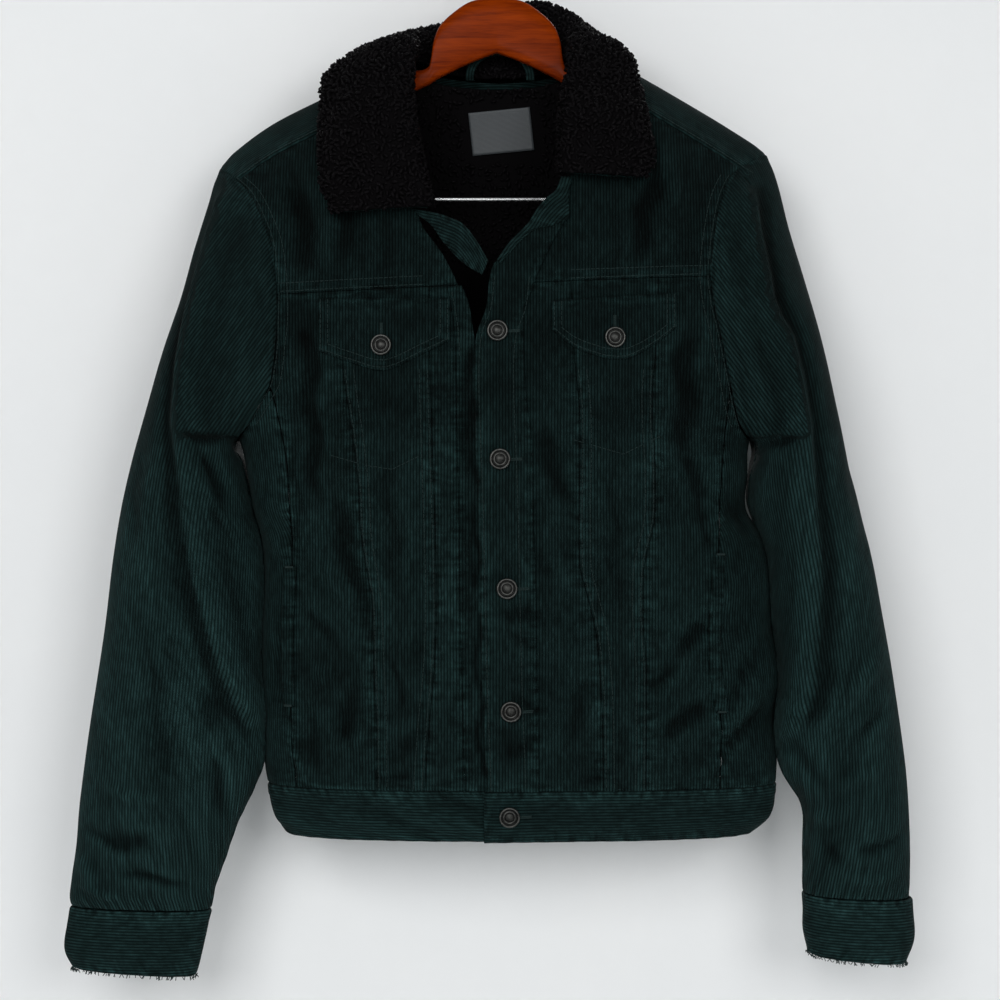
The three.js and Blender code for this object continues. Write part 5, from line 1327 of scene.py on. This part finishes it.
def lining_depth(v):
    """How far the lining hangs in from the cloth, less at both of its ends."""
    return -3 - 10 * ease(np.minimum(v, 1 - v) * 11)


def lining_depth_back(f, v):
    return -3 - 10 * ease(np.minimum((1 - v) * 11, v * 11 + 1.3 - 7 * np.abs(f - 0.5)))


def back_neck(x):
    return read(BACK_NECK, "x", "z", np.clip(x, -77, 73)) - 3


def back_lining_top(x):
    return mix(back_neck(x), ridge(x) - 22, ease((np.abs(x) - 70) / 30))


def back_lining_edge(who, s):
    below = on_back(SEAM[f"back_side_{who}"], -s, -1)

    def edge(z):
        hole = -2 - girth_at(armhole(who, "back", z) - s * 3, z)
        return np.where(z > -424, hole, below(np.minimum(z, -441)))
    return edge


lining_bottom = level(WAIST_TOP + 2)
back_lining = between(back_lining_edge("right", -1), back_lining_edge("left", 1), back_lining_top,
                      lining_bottom, 0.0)
lining_f, lining_v = np.meshgrid(place_lines(360, 6), place_lines(560, 6))
lining_p, lining_n, lining_chart = back_lining(lining_f, lining_v)
lining, lining_cut = shell("lining_back_fleece", lining_p, lining_n, lining_chart, backing,
                           raised=lining_depth_back(lining_f, lining_v), thick=4.0)
sew(lining, lining_cut, "lining_back", slot="lining")
for who, sign in SIGN.items():
    def lining_outer(z, who=who, sign=sign):
        seam = read(SEAM[f"side_{who}"], "z", "x", z) - sign
        return girth_at(np.where(z > -424, armhole(who, "front", z) - sign * 3, seam), z)

    def lining_open(z, who=who, sign=sign):
        at_neck = on_front(SEAM[f"neck_{who}"], sign * 4)(z)
        return np.where(z > -306, at_neck, on_front(SEAM[f"placket_{who}"], sign * 6)(z))
    front_lining = between(lining_open, lining_outer, lambda x: shoulder_seam(x) - 4, lining_bottom, 0.0)
    lining_f, lining_v = np.meshgrid(place_lines(150, 6), place_lines(520, 6))
    lining_p, lining_n, lining_chart = front_lining(lining_f, lining_v)
    lining, lining_cut = shell(f"lining_{who}_fleece", lining_p, lining_n, lining_chart, backing,
                               raised=lining_depth(lining_v), thick=4.0)
    sew(lining, lining_cut, f"lining_{who}", slot="lining")

seen_f, seen_v = np.meshgrid(np.linspace(0.27, 0.73, 60), np.linspace(0.0, 0.4, 60))
seen_p, seen_n, _ = back_lining(seen_f, seen_v)
seen_depth = lining_depth_back(seen_f, seen_v) - 4.0
under_label = (np.abs(seen_p[..., 0] - 3) < 33) & (np.abs(seen_p[..., 2] + 165) < 26)
carrier = bare_surface("lining_carrier", seen_p + seen_n * seen_depth[..., None], -seen_n, ~under_label)
lining_tufts = grown("lining_tufts", carrier, tufts, Spacing=3.6 * MM)
bpy.data.objects.remove(carrier)


def woven_label():
    """Damask label of grey polyester: fine level ribs and a faint satin gloss."""
    made, tree = new_material("woven_label")
    chart = add_node(tree, "ShaderNodeUVMap", uv_map="cloth")
    ribs = add_node(tree, "ShaderNodeTexWave", {"Vector": chart.outputs[0], "Scale": 300.0,
                                                "Distortion": 0.4}, bands_direction="Y")
    colour = add_node(tree, "ShaderNodeMix", {0: ribs.outputs["Fac"], 6: linear("#2d3134"),
                                              7: linear("#3a3f42")}, data_type="RGBA")
    relief = add_node(tree, "ShaderNodeBump", {"Height": ribs.outputs["Fac"], "Strength": 0.3,
                                               "Distance": 0.2 * MM})
    surface = add_node(tree, "ShaderNodeBsdfPrincipled", {"Base Color": colour.outputs[2], "Roughness": 0.55,
                                                          "Normal": relief.outputs[0]})
    add_node(tree, "ShaderNodeOutputMaterial", {"Surface": surface.outputs[0]})
    return made


LABEL = {"left": -24.5, "right": 27.5, "top": -146, "bottom": -182, "depth": -18.2}
label_f, label_v = np.meshgrid(np.linspace(0, 1, 27), np.linspace(0, 1, 19))
label_x = mix(LABEL["left"], LABEL["right"], label_f) + 4 * label_v
label_z = mix(LABEL["top"], LABEL["bottom"], label_v) + 5 * (label_f - 0.5)
label_p, label_n = body(girth_at(label_x, label_z), -height_at(ridge(label_x) - label_z), 0.0)
label_chart = np.stack([distances(label_p, 1), distances(label_p, 0)], -1)
label, label_cut = shell("neck_label_cloth", label_p, label_n, label_chart, woven_label(),
                         raised=LABEL["depth"], thick=0.8, fall=0.0, wrinkle=0)
sew(label, label_cut, "neck_label", slot="label")

LOOP = {"middle": 2.5, "half": 25, "y": 7.3, "foot": -128.2, "high": 24.2, "half_band": 3.5}


def loop(f, v):
    """A band that arches over from foot to foot, facing the front."""
    w = f * math.pi
    middle = np.stack([LOOP["middle"] - LOOP["half"] * np.cos(w), LOOP["y"] + 0 * w,
                       LOOP["foot"] + LOOP["high"] * np.sin(w) ** 0.8], -1)
    out = unit(np.stack([-np.cos(w), 0 * w, np.sin(w)], -1))
    p = middle + out * mix(-LOOP["half_band"], LOOP["half_band"], v)[..., None]
    return p, np.zeros_like(p) + np.array([0, -1.0, 0]), np.stack([v * 7, f * 80], -1)


loop_p, loop_n, loop_chart = loop(*np.meshgrid(np.linspace(0, 1, 41), np.linspace(0, 1, 7)))
loop_piece, loop_cut = shell("hanging_loop_cloth", loop_p, loop_n, loop_chart, corduroy, raised=1,
                             thick=2, fall=0.4, wrinkle=0)
sew(loop_piece, loop_cut, "hanging_loop")

# Buttons
# Jeans buttons of cast zinc with a dark antique finish, rubbed bright on the rim: a dished face
# with a plain ring and a domed middle.


def antique_metal():
    """Zinc blackened in its hollows and rubbed bright on its rims, unevenly."""
    made, tree = new_material("antique_zinc")
    place = add_node(tree, "ShaderNodeTexCoord")
    tarnish = add_node(tree, "ShaderNodeTexNoise", {"Vector": place.outputs["Object"], "Scale": 420.0,
                                                    "Detail": 3.0})
    shine = add_node(tree, "ShaderNodeAttribute", attribute_name="shine")
    clean = add_node(tree, "ShaderNodeMath", {0: tarnish.outputs["Fac"], 1: shine.outputs["Fac"]},
                     operation="MULTIPLY")
    colour = add_node(tree, "ShaderNodeMix", {0: clean.outputs[0], 6: linear("#060707"),
                                              7: linear("#8f908c")}, data_type="RGBA")
    rough = add_node(tree, "ShaderNodeMapRange", {0: tarnish.outputs["Fac"], 3: 0.25, 4: 0.6})
    surface = add_node(tree, "ShaderNodeBsdfPrincipled", {"Base Color": colour.outputs[2], "Metallic": 1.0,
                                                          "Roughness": rough.outputs[0]})
    add_node(tree, "ShaderNodeOutputMaterial", {"Surface": surface.outputs[0]})
    return made


# Radius, height and how bright each ring of the button is rubbed.
BUTTON_PROFILE = [(0, 0, 0), (5.1, 0, 0), (7.9, 1.1, 0.1), (8.2, 1.7, 0.15), (8.2, 2.5, 0.2),
                  (7.8, 3.1, 0.45), (7.1, 3.25, 0.5), (6.6, 2.9, 0.12), (6.1, 2.3, 0.05),
                  (5.2, 2.2, 0.1), (4.9, 2.7, 0.4), (4.3, 2.8, 0.4), (3.9, 2.3, 0.05),
                  (3.4, 2.25, 0.05), (2.6, 2.7, 0.15), (1.3, 3.0, 0.25), (0, 3.1, 0.3)]
zinc = antique_metal()


def lathed(name, profile, origin, axis, material, sides=40):
    """A profile of (radius, height) turned about an axis at a place."""
    axis = unit(np.array(axis, float))
    first = unit(np.cross(axis, [0.0, 0.3, 1.0]))
    second = np.cross(axis, first)
    points, faces, shine = [], [], []
    for radius, height, bright in profile[1:-1]:
        shine += [bright] * sides
        for k in range(sides):
            w = 2 * math.pi * k / sides
            points.append(origin + axis * height + (first * math.cos(w) + second * math.sin(w)) * radius)
    rings = len(profile) - 2
    for i in range(rings - 1):
        for k in range(sides):
            a, b = i * sides + k, i * sides + (k + 1) % sides
            faces.append((a, b, b + sides, a + sides))
    points += [origin + axis * profile[0][1], origin + axis * profile[-1][1]]
    foot, top = rings * sides, rings * sides + 1
    for k in range(sides):
        faces.append((foot, (k + 1) % sides, k))
        faces.append((top, (rings - 1) * sides + k, (rings - 1) * sides + (k + 1) % sides))
    shine += [profile[0][2], profile[-1][2]]
    return mesh_object(name, points, faces, material, marks={"shine": shine})


BUTTONS = [(0.5, -342), (2.5, -442), (8, -543), (11, -639), (10, -722)]
FLAP_BUTTONS = {"right": (-90, -353), "left": (92, -347)}


def set_button(node, x, z, raised):
    """One button of the CAD model's name, on the front at x and z."""
    p, n = on_body(np.array(float(x)), np.array(float(z)))
    made = lathed(f"{node}_metal", BUTTON_PROFILE, p + n * (raised + 0.3), n, zinc)
    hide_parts(node)


for number, (x, z) in enumerate(BUTTONS):
    set_button(f"front_button_{number + 1}", x, z, ON + 2.3)
for who, (x, z) in FLAP_BUTTONS.items():
    set_button(f"flap_button_{who}", x, z, ON + 2.1)

# Topstitching
# Cotton-wrapped polyester thread, a shade lighter than the cloth, in rows along every lapped
# seam. Each stitch is a short round length of thread pulled into the pile.
STITCH = 3.0
STITCH_GAP = 0.9
THREAD = 0.32


def sewing_thread():
    """Dull green thread, a shade paler than the cloth, with the mottle of its plies."""
    made, tree = new_material("sewing_thread")
    place = add_node(tree, "ShaderNodeTexCoord")
    ply = add_node(tree, "ShaderNodeTexNoise", {"Vector": place.outputs["Object"], "Scale": 900.0})
    colour = add_node(tree, "ShaderNodeMix", {0: ply.outputs["Fac"], 6: linear("#0c1716"),
                                              7: linear("#1d302f")}, data_type="RGBA")
    surface = add_node(tree, "ShaderNodeBsdfPrincipled", {"Base Color": colour.outputs[2], "Roughness": 0.7,
                                                          "Specular IOR Level": 0.2})
    add_node(tree, "ShaderNodeOutputMaterial", {"Surface": surface.outputs[0]})
    return made


def stitches_tree(material):
    """Geometry Nodes: a length of thread at each point, along its "run" and lying on its "up"."""
    tree = bpy.data.node_groups.new("stitches", "GeometryNodeTree")
    tree.interface.new_socket("Geometry", in_out="INPUT", socket_type="NodeSocketGeometry")
    for name, value in (("Stitch", STITCH * MM), ("Thread", THREAD * MM)):
        size = tree.interface.new_socket(name, in_out="INPUT", socket_type="NodeSocketFloat")
        size.default_value = value
    tree.interface.new_socket("Geometry", in_out="OUTPUT", socket_type="NodeSocketGeometry")
    given = add_node(tree, "NodeGroupInput")
    run = add_node(tree, "GeometryNodeInputNamedAttribute", {"Name": "run"}, data_type="FLOAT_VECTOR")
    up = add_node(tree, "GeometryNodeInputNamedAttribute", {"Name": "up"}, data_type="FLOAT_VECTOR")
    length = add_node(tree, "ShaderNodeVectorMath", {0: run.outputs[0]}, operation="LENGTH")
    stretch = add_node(tree, "ShaderNodeCombineXYZ", {0: 1.0, 1: 1.0, 2: length.outputs["Value"]})
    turn = add_node(tree, "FunctionNodeAxesToRotation", {0: run.outputs[0], 1: up.outputs[0]},
                    primary_axis="Z", secondary_axis="X")
    thread = add_node(tree, "GeometryNodeMeshCylinder", {"Vertices": 5, "Radius": given.outputs["Thread"],
                                                         "Depth": given.outputs["Stitch"]})
    placed = add_node(tree, "GeometryNodeInstanceOnPoints",
                      {"Points": given.outputs["Geometry"], "Instance": thread.outputs[0],
                       "Rotation": turn.outputs[0], "Scale": stretch.outputs[0]})
    real = add_node(tree, "GeometryNodeRealizeInstances", {0: placed.outputs[0]})
    coat = add_node(tree, "GeometryNodeSetMaterial", {0: real.outputs[0], "Material": material})
    add_node(tree, "NodeGroupOutput", {0: coat.outputs[0]})
    return tree


thread_tree = stitches_tree(sewing_thread())


def stitch_places(p, n, stitch=STITCH, gap=STITCH_GAP):
    """Even places along a line of points: where each stitch lies, its run and its normal."""
    along = distances(p, 0)
    middles = np.arange(stitch / 2, along[-1], stitch + gap)
    at = np.stack([np.interp(middles, along, p[:, k]) for k in range(3)], -1)
    ahead = np.stack([np.interp(middles + stitch / 2, along, p[:, k]) for k in range(3)], -1)
    behind = np.stack([np.interp(middles - stitch / 2, along, p[:, k]) for k in range(3)], -1)
    normal = np.stack([np.interp(middles, along, n[:, k]) for k in range(3)], -1)
    return at, unit(ahead - behind), unit(normal)


def bars(start, end, width, raised):
    """Close stitches across a short line on the front: a bartack or one lip of a buttonhole."""
    count = max(2, round(math.dist(start, end) / 0.55))
    x, z = np.linspace(start[0], end[0], count), np.linspace(start[1], end[1], count)
    p, n = on_body(x, z)
    along = unit(np.gradient(p, axis=0))
    return [(p[i] + n[i] * raised, np.cross(n[i], along[i]), n[i], width) for i in range(count)]


def sewn(name, lines, tacks=()):
    """All stitches of some lines as one piece; a line is its points and normals."""
    found = [stitch_places(p, n) for p, n in lines]
    for p, run, up, width in tacks:
        found.append((p[None], run[None] * width / STITCH, up[None]))
    points, run, up = (np.concatenate(column) for column in zip(*found))
    mesh = bpy.data.meshes.new(f"{name}_places")
    mesh.from_pydata((points * MM).tolist(), [], [])
    for attribute, values in (("run", run), ("up", up)):
        layer = mesh.attributes.new(attribute, "FLOAT_VECTOR", "POINT")
        layer.data.foreach_set("vector", values.astype(np.float32).ravel())
    carrier = bpy.data.objects.new(f"{name}_places", mesh)
    bpy.context.scene.collection.objects.link(carrier)
    made = grown(name, carrier, thread_tree)
    bpy.data.objects.remove(carrier)


def row_down(rows, inset, top, bottom, raised=0.9, behind=False):
    """Row of stitches beside a seam that runs down the body."""
    z = np.linspace(top, bottom, 160)
    p, n = on_body(read(rows, "z", "x", z) + inset, z, 1.0, behind)
    return p + n * raised, n


def row_across(height, start, end, raised=0.9, behind=False):
    """Row of stitches along a level seam."""
    x = np.linspace(start, end, 160)
    p, n = on_body(x, height(x) if callable(height) else np.full(x.shape, float(height)), 1.0, behind)
    return p + n * raised, n


front_rows = []
for who, sign in SIGN.items():
    for inset in (2.0, 8.5):
        front_rows.append(row_down(SEAM[f"inner_{who}"], sign * inset, -372, -701))
        front_rows.append(row_down(SEAM[f"outer_{who}"], -sign * inset, -372, -701))
        front_rows.append(row_across(lambda x, inset=inset: chest_seam(x) + inset, sign * 58, sign * 168))
        front_rows.append(row_down(ARMHOLE[who]["front"], -sign * (inset + 1), -215, -415))
    front_rows.append(row_across(lambda x: shoulder_seam(x) + 2.5, sign * 82, sign * 205))
sewn("front_topstitching", front_rows)
closure_rows = []
for inset in (4.0, 31.0):
    closure_rows.append(row_down(SEAM["edge_left"], inset, -300, -701, ON + 2.7))
closure_rows.append(row_down(SEAM["placket_right"], 3.0, -312, -360, 0.6))
for who in SIGN:
    flap = FLAP[who]
    for inset in (2.4, 8.0):
        start, end = flap["sides"]
        edge_x = np.linspace(start + inset, end - inset, 120)
        low = read(flap["bottom"], "x", "z", edge_x) + inset
        p, n = on_body(edge_x, low)
        closure_rows.append((p + n * (ON + 2.3), n))
        for x in (start + inset, end - inset):
            high = float(read(flap["top"], "x", "z", x)) - 1
            z = np.linspace(high, float(read(flap["bottom"], "x", "z", x)) + inset, 40)
            p, n = on_body(np.full(z.shape, float(x)), z)
            closure_rows.append((p + n * (ON + 2.3), n))
POCKET_POINT = {
    "right": table("x z", [-130, -439], [-102, -447], [-82, -450], [-59, -439]),
    "left": table("x z", [60, -427], [99, -438], [130, -423]),
}
for who, rows in POCKET_POINT.items():
    edge_x = np.linspace(rows["x"][0], rows["x"][-1], 80)
    p, n = on_body(edge_x, np.interp(edge_x, rows["x"], rows["z"]))
    closure_rows.append((p + n * 0.35, n))
sewn("closure_topstitching", closure_rows)

# Frayed hems
# The cuffs' lower edges are worn through, and short ends of yarn stand out of them.
YARN_ENDS = 150
CUFF_RINGS = 3.0
rng = np.random.default_rng(11)
frayed = []
for who, sign in SIGN.items():
    angles = rng.uniform(0, 2 * math.pi, YARN_ENDS)
    at, outward = tube(lambda t, w: ring_point(CUFF[who], t, w), sign, np.full(YARN_ENDS, CUFF_RINGS),
                       angles, False)
    for spot, way in zip(at, outward):
        run = unit(np.array([rng.normal(0, 0.5), rng.normal(0, 0.4), -1.0]))
        frayed.append((spot + way * rng.uniform(-0.5, 1.4) + run * 0.6, run, way, rng.uniform(1.5, 4.0)))
sewn("frayed_yarn", [], frayed)

# Buttonholes and bartacks
# Each buttonhole is a slit with two lips of close stitches. Bartacks hold the pocket mouths.
holes = []
for x, z in BUTTONS:
    for lip in (-0.6, 0.6):
        holes += bars((x + 6, z + lip - 0.5), (x + 17, z + lip), 1.0, ON + 2.5)
for x, z in FLAP_BUTTONS.values():
    for lip in (-0.6, 0.6):
        holes += bars((x + lip, z + 6), (x + lip, z + 17), 1.0, ON + 2.2)
for who in SIGN:
    for z in WELT[who]:
        x = float(read(SEAM[f"side_{who}"], "z", "x", z))
        holes += bars((x - 3, z), (x + 3, z), 1.6, ON + 2.6)
sewn("buttonholes", [], holes)

# Topstitching of the back
# The same thread, in two rows along the yoke's seam and each seam of the centre panel.
back_rows = []
for who, sign in SIGN.items():
    for inset in (2.0, 8.5):
        back_rows.append(row_down(SEAM[f"back_{who}"], -sign * inset, -292, -701, 0.9, True))
for inset in (2.0, 8.5):
    back_rows.append(row_across(BACK_SEAM + inset, -188, 184, 0.9, True))
sewn("back_topstitching", back_rows)

# Hanger
# Solid beech stained red-brown under clear lacquer, with a chromed wire hook and trouser bar.
BOARD = table("x top bottom", [0, -62, -107.5], [20, -65, -115], [33, -72.5, -121], [47, -86, -128],
              [52, -99, -131], [55, -118, -133], [72, -123, -141], [100, -136, -154], [140, -160, -177],
              [180, -187, -201], [204, -205, -214], [212, -211.5, -214])
BOARD_THICK = 12.0


def lacquered_beech():
    """Red-brown stained wood with long level grain under a thin satin coat."""
    made, tree = new_material("lacquered_beech")
    place = add_node(tree, "ShaderNodeTexCoord")
    turned = add_node(tree, "ShaderNodeMapping", {"Vector": place.outputs["Object"],
                                                  "Scale": (6.0, 60.0, 90.0)})
    grain = add_node(tree, "ShaderNodeTexNoise", {"Vector": turned.outputs[0], "Scale": 2.2, "Detail": 5.0,
                                                  "Distortion": 0.6})
    fleck = add_node(tree, "ShaderNodeTexNoise", {"Vector": turned.outputs[0], "Scale": 14.0, "Detail": 2.0})
    blend = add_node(tree, "ShaderNodeMath", {0: fleck.outputs["Fac"], 1: 0.3, 2: grain.outputs["Fac"]},
                     operation="MULTIPLY_ADD")
    tone = add_node(tree, "ShaderNodeMapRange", {0: blend.outputs[0], 1: 0.45, 2: 0.85})
    colour = add_node(tree, "ShaderNodeMix", {0: tone.outputs[0], 6: linear("#561700"),
                                              7: linear("#863000")}, data_type="RGBA")
    relief = add_node(tree, "ShaderNodeBump", {"Height": blend.outputs[0], "Strength": 0.1,
                                               "Distance": 0.3 * MM})
    surface = add_node(tree, "ShaderNodeBsdfPrincipled", {
        "Base Color": colour.outputs[2], "Roughness": 0.35, "Specular IOR Level": 0.03,
        "Coat Weight": 0.02, "Coat Roughness": 0.15, "Normal": relief.outputs[0]})
    add_node(tree, "ShaderNodeOutputMaterial", {"Surface": surface.outputs[0]})
    return made


def chromed_steel():
    """Bright plated wire, a little dulled by handling."""
    made, tree = new_material("chromed_steel")
    place = add_node(tree, "ShaderNodeTexCoord")
    smear = add_node(tree, "ShaderNodeTexNoise", {"Vector": place.outputs["Object"], "Scale": 90.0})
    rough = add_node(tree, "ShaderNodeMapRange", {0: smear.outputs["Fac"], 3: 0.12, 4: 0.3})
    surface = add_node(tree, "ShaderNodeBsdfPrincipled", {"Base Color": linear("#d9dadb"), "Metallic": 1.0,
                                                          "Roughness": rough.outputs[0]})
    add_node(tree, "ShaderNodeOutputMaterial", {"Surface": surface.outputs[0]})
    return made


def hanger_board():
    """Rings round the board's section at each x, closed at both tips."""
    sides = 28
    xs = np.concatenate([np.linspace(-212, -60, 60), np.linspace(-58, 58, 80), np.linspace(60, 212, 60)])
    top, bottom = (read(BOARD, "x", column, np.abs(xs)) for column in ("top", "bottom"))
    around = np.linspace(0, 2 * math.pi, sides, endpoint=False)
    squared = 2 / 3.4            # a boxy round
    up = np.sign(np.cos(around)) * np.abs(np.cos(around)) ** squared
    out = np.sign(np.sin(around)) * np.abs(np.sin(around)) ** squared
    middle, half = (top + bottom) / 2, (top - bottom) / 2
    points = np.stack([np.repeat(xs[:, None], sides, 1), np.repeat(out[None] * BOARD_THICK / 2, len(xs), 0),
                       middle[:, None] + half[:, None] * up[None]], -1)
    faces = []
    for i in range(len(xs) - 1):
        for k in range(sides):
            a, b = i * sides + k, i * sides + (k + 1) % sides
            faces.append((a, a + sides, b + sides, b))
    faces.append(tuple(range(sides)))
    faces.append(tuple(reversed(range((len(xs) - 1) * sides, len(xs) * sides))))
    return mesh_object("hanger_board_wood", points.reshape(-1, 3), faces, lacquered_beech())


board = hanger_board()
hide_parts("hanger_board")


def arc(cx, cz, radius, start, end, steps):
    """Points of an arc in the plane of the hanger, between two angles in degrees."""
    w = np.radians(np.linspace(start, end, steps + 1))
    return np.stack([cx + radius * np.cos(w), 0 * w, cz + radius * np.sin(w)], -1)


def wire(name, path, radius, material, sides=16):
    """A round wire in the plane of the hanger along a path, its ends rounded off."""
    ahead = unit(np.gradient(path, axis=0))
    level_way = np.array([0, 1.0, 0])
    other = unit(np.cross(ahead, level_way))
    w = np.linspace(0, 2 * math.pi, sides, endpoint=False)
    rings = (path[:, None] + level_way * radius * np.cos(w)[None, :, None]
             + other[:, None] * radius * np.sin(w)[None, :, None])
    faces = []
    for i in range(len(path) - 1):
        for k in range(sides):
            a, b = i * sides + k, i * sides + (k + 1) % sides
            faces.append((a, b, b + sides, a + sides))
    faces.append(tuple(reversed(range(sides))))
    faces.append(tuple(range((len(path) - 1) * sides, len(path) * sides)))
    return mesh_object(name, rings.reshape(-1, 3), faces, material)


HOOK_RADIUS = 16.0
HOOK_WIRE = 2.0
HOOK_FOOT = -61.7
BAR_WIRE = 1.5
BAR_X = 182.0
BAR_Z = -227.5
BAR_BEND = 8.0
BAR_TOP = -202.9
chrome = chromed_steel()
crook = arc(0, HOOK_WIRE - HOOK_RADIUS, HOOK_RADIUS, 200, -35, 40)
neck_turn = arc(13, HOOK_WIRE - HOOK_RADIUS - 24.5, 13, 128, 180, 12)
hook_path = np.concatenate([crook, neck_turn, [[0, 0, HOOK_FOOT]]])
hook = wire("hanger_hook_wire", hook_path, HOOK_WIRE, chrome)
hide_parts("hanger_hook")
bar_bends = [arc(-BAR_X + BAR_BEND, BAR_Z + BAR_BEND, BAR_BEND, 180, 270, 12),
             arc(BAR_X - BAR_BEND, BAR_Z + BAR_BEND, BAR_BEND, 270, 360, 12)]
bar_path = np.concatenate([[[-BAR_X, 0, BAR_TOP]], *bar_bends, [[BAR_X, 0, BAR_TOP]]])
bar = wire("trouser_bar_wire", bar_path, BAR_WIRE, chrome)
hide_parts("trouser_bar")
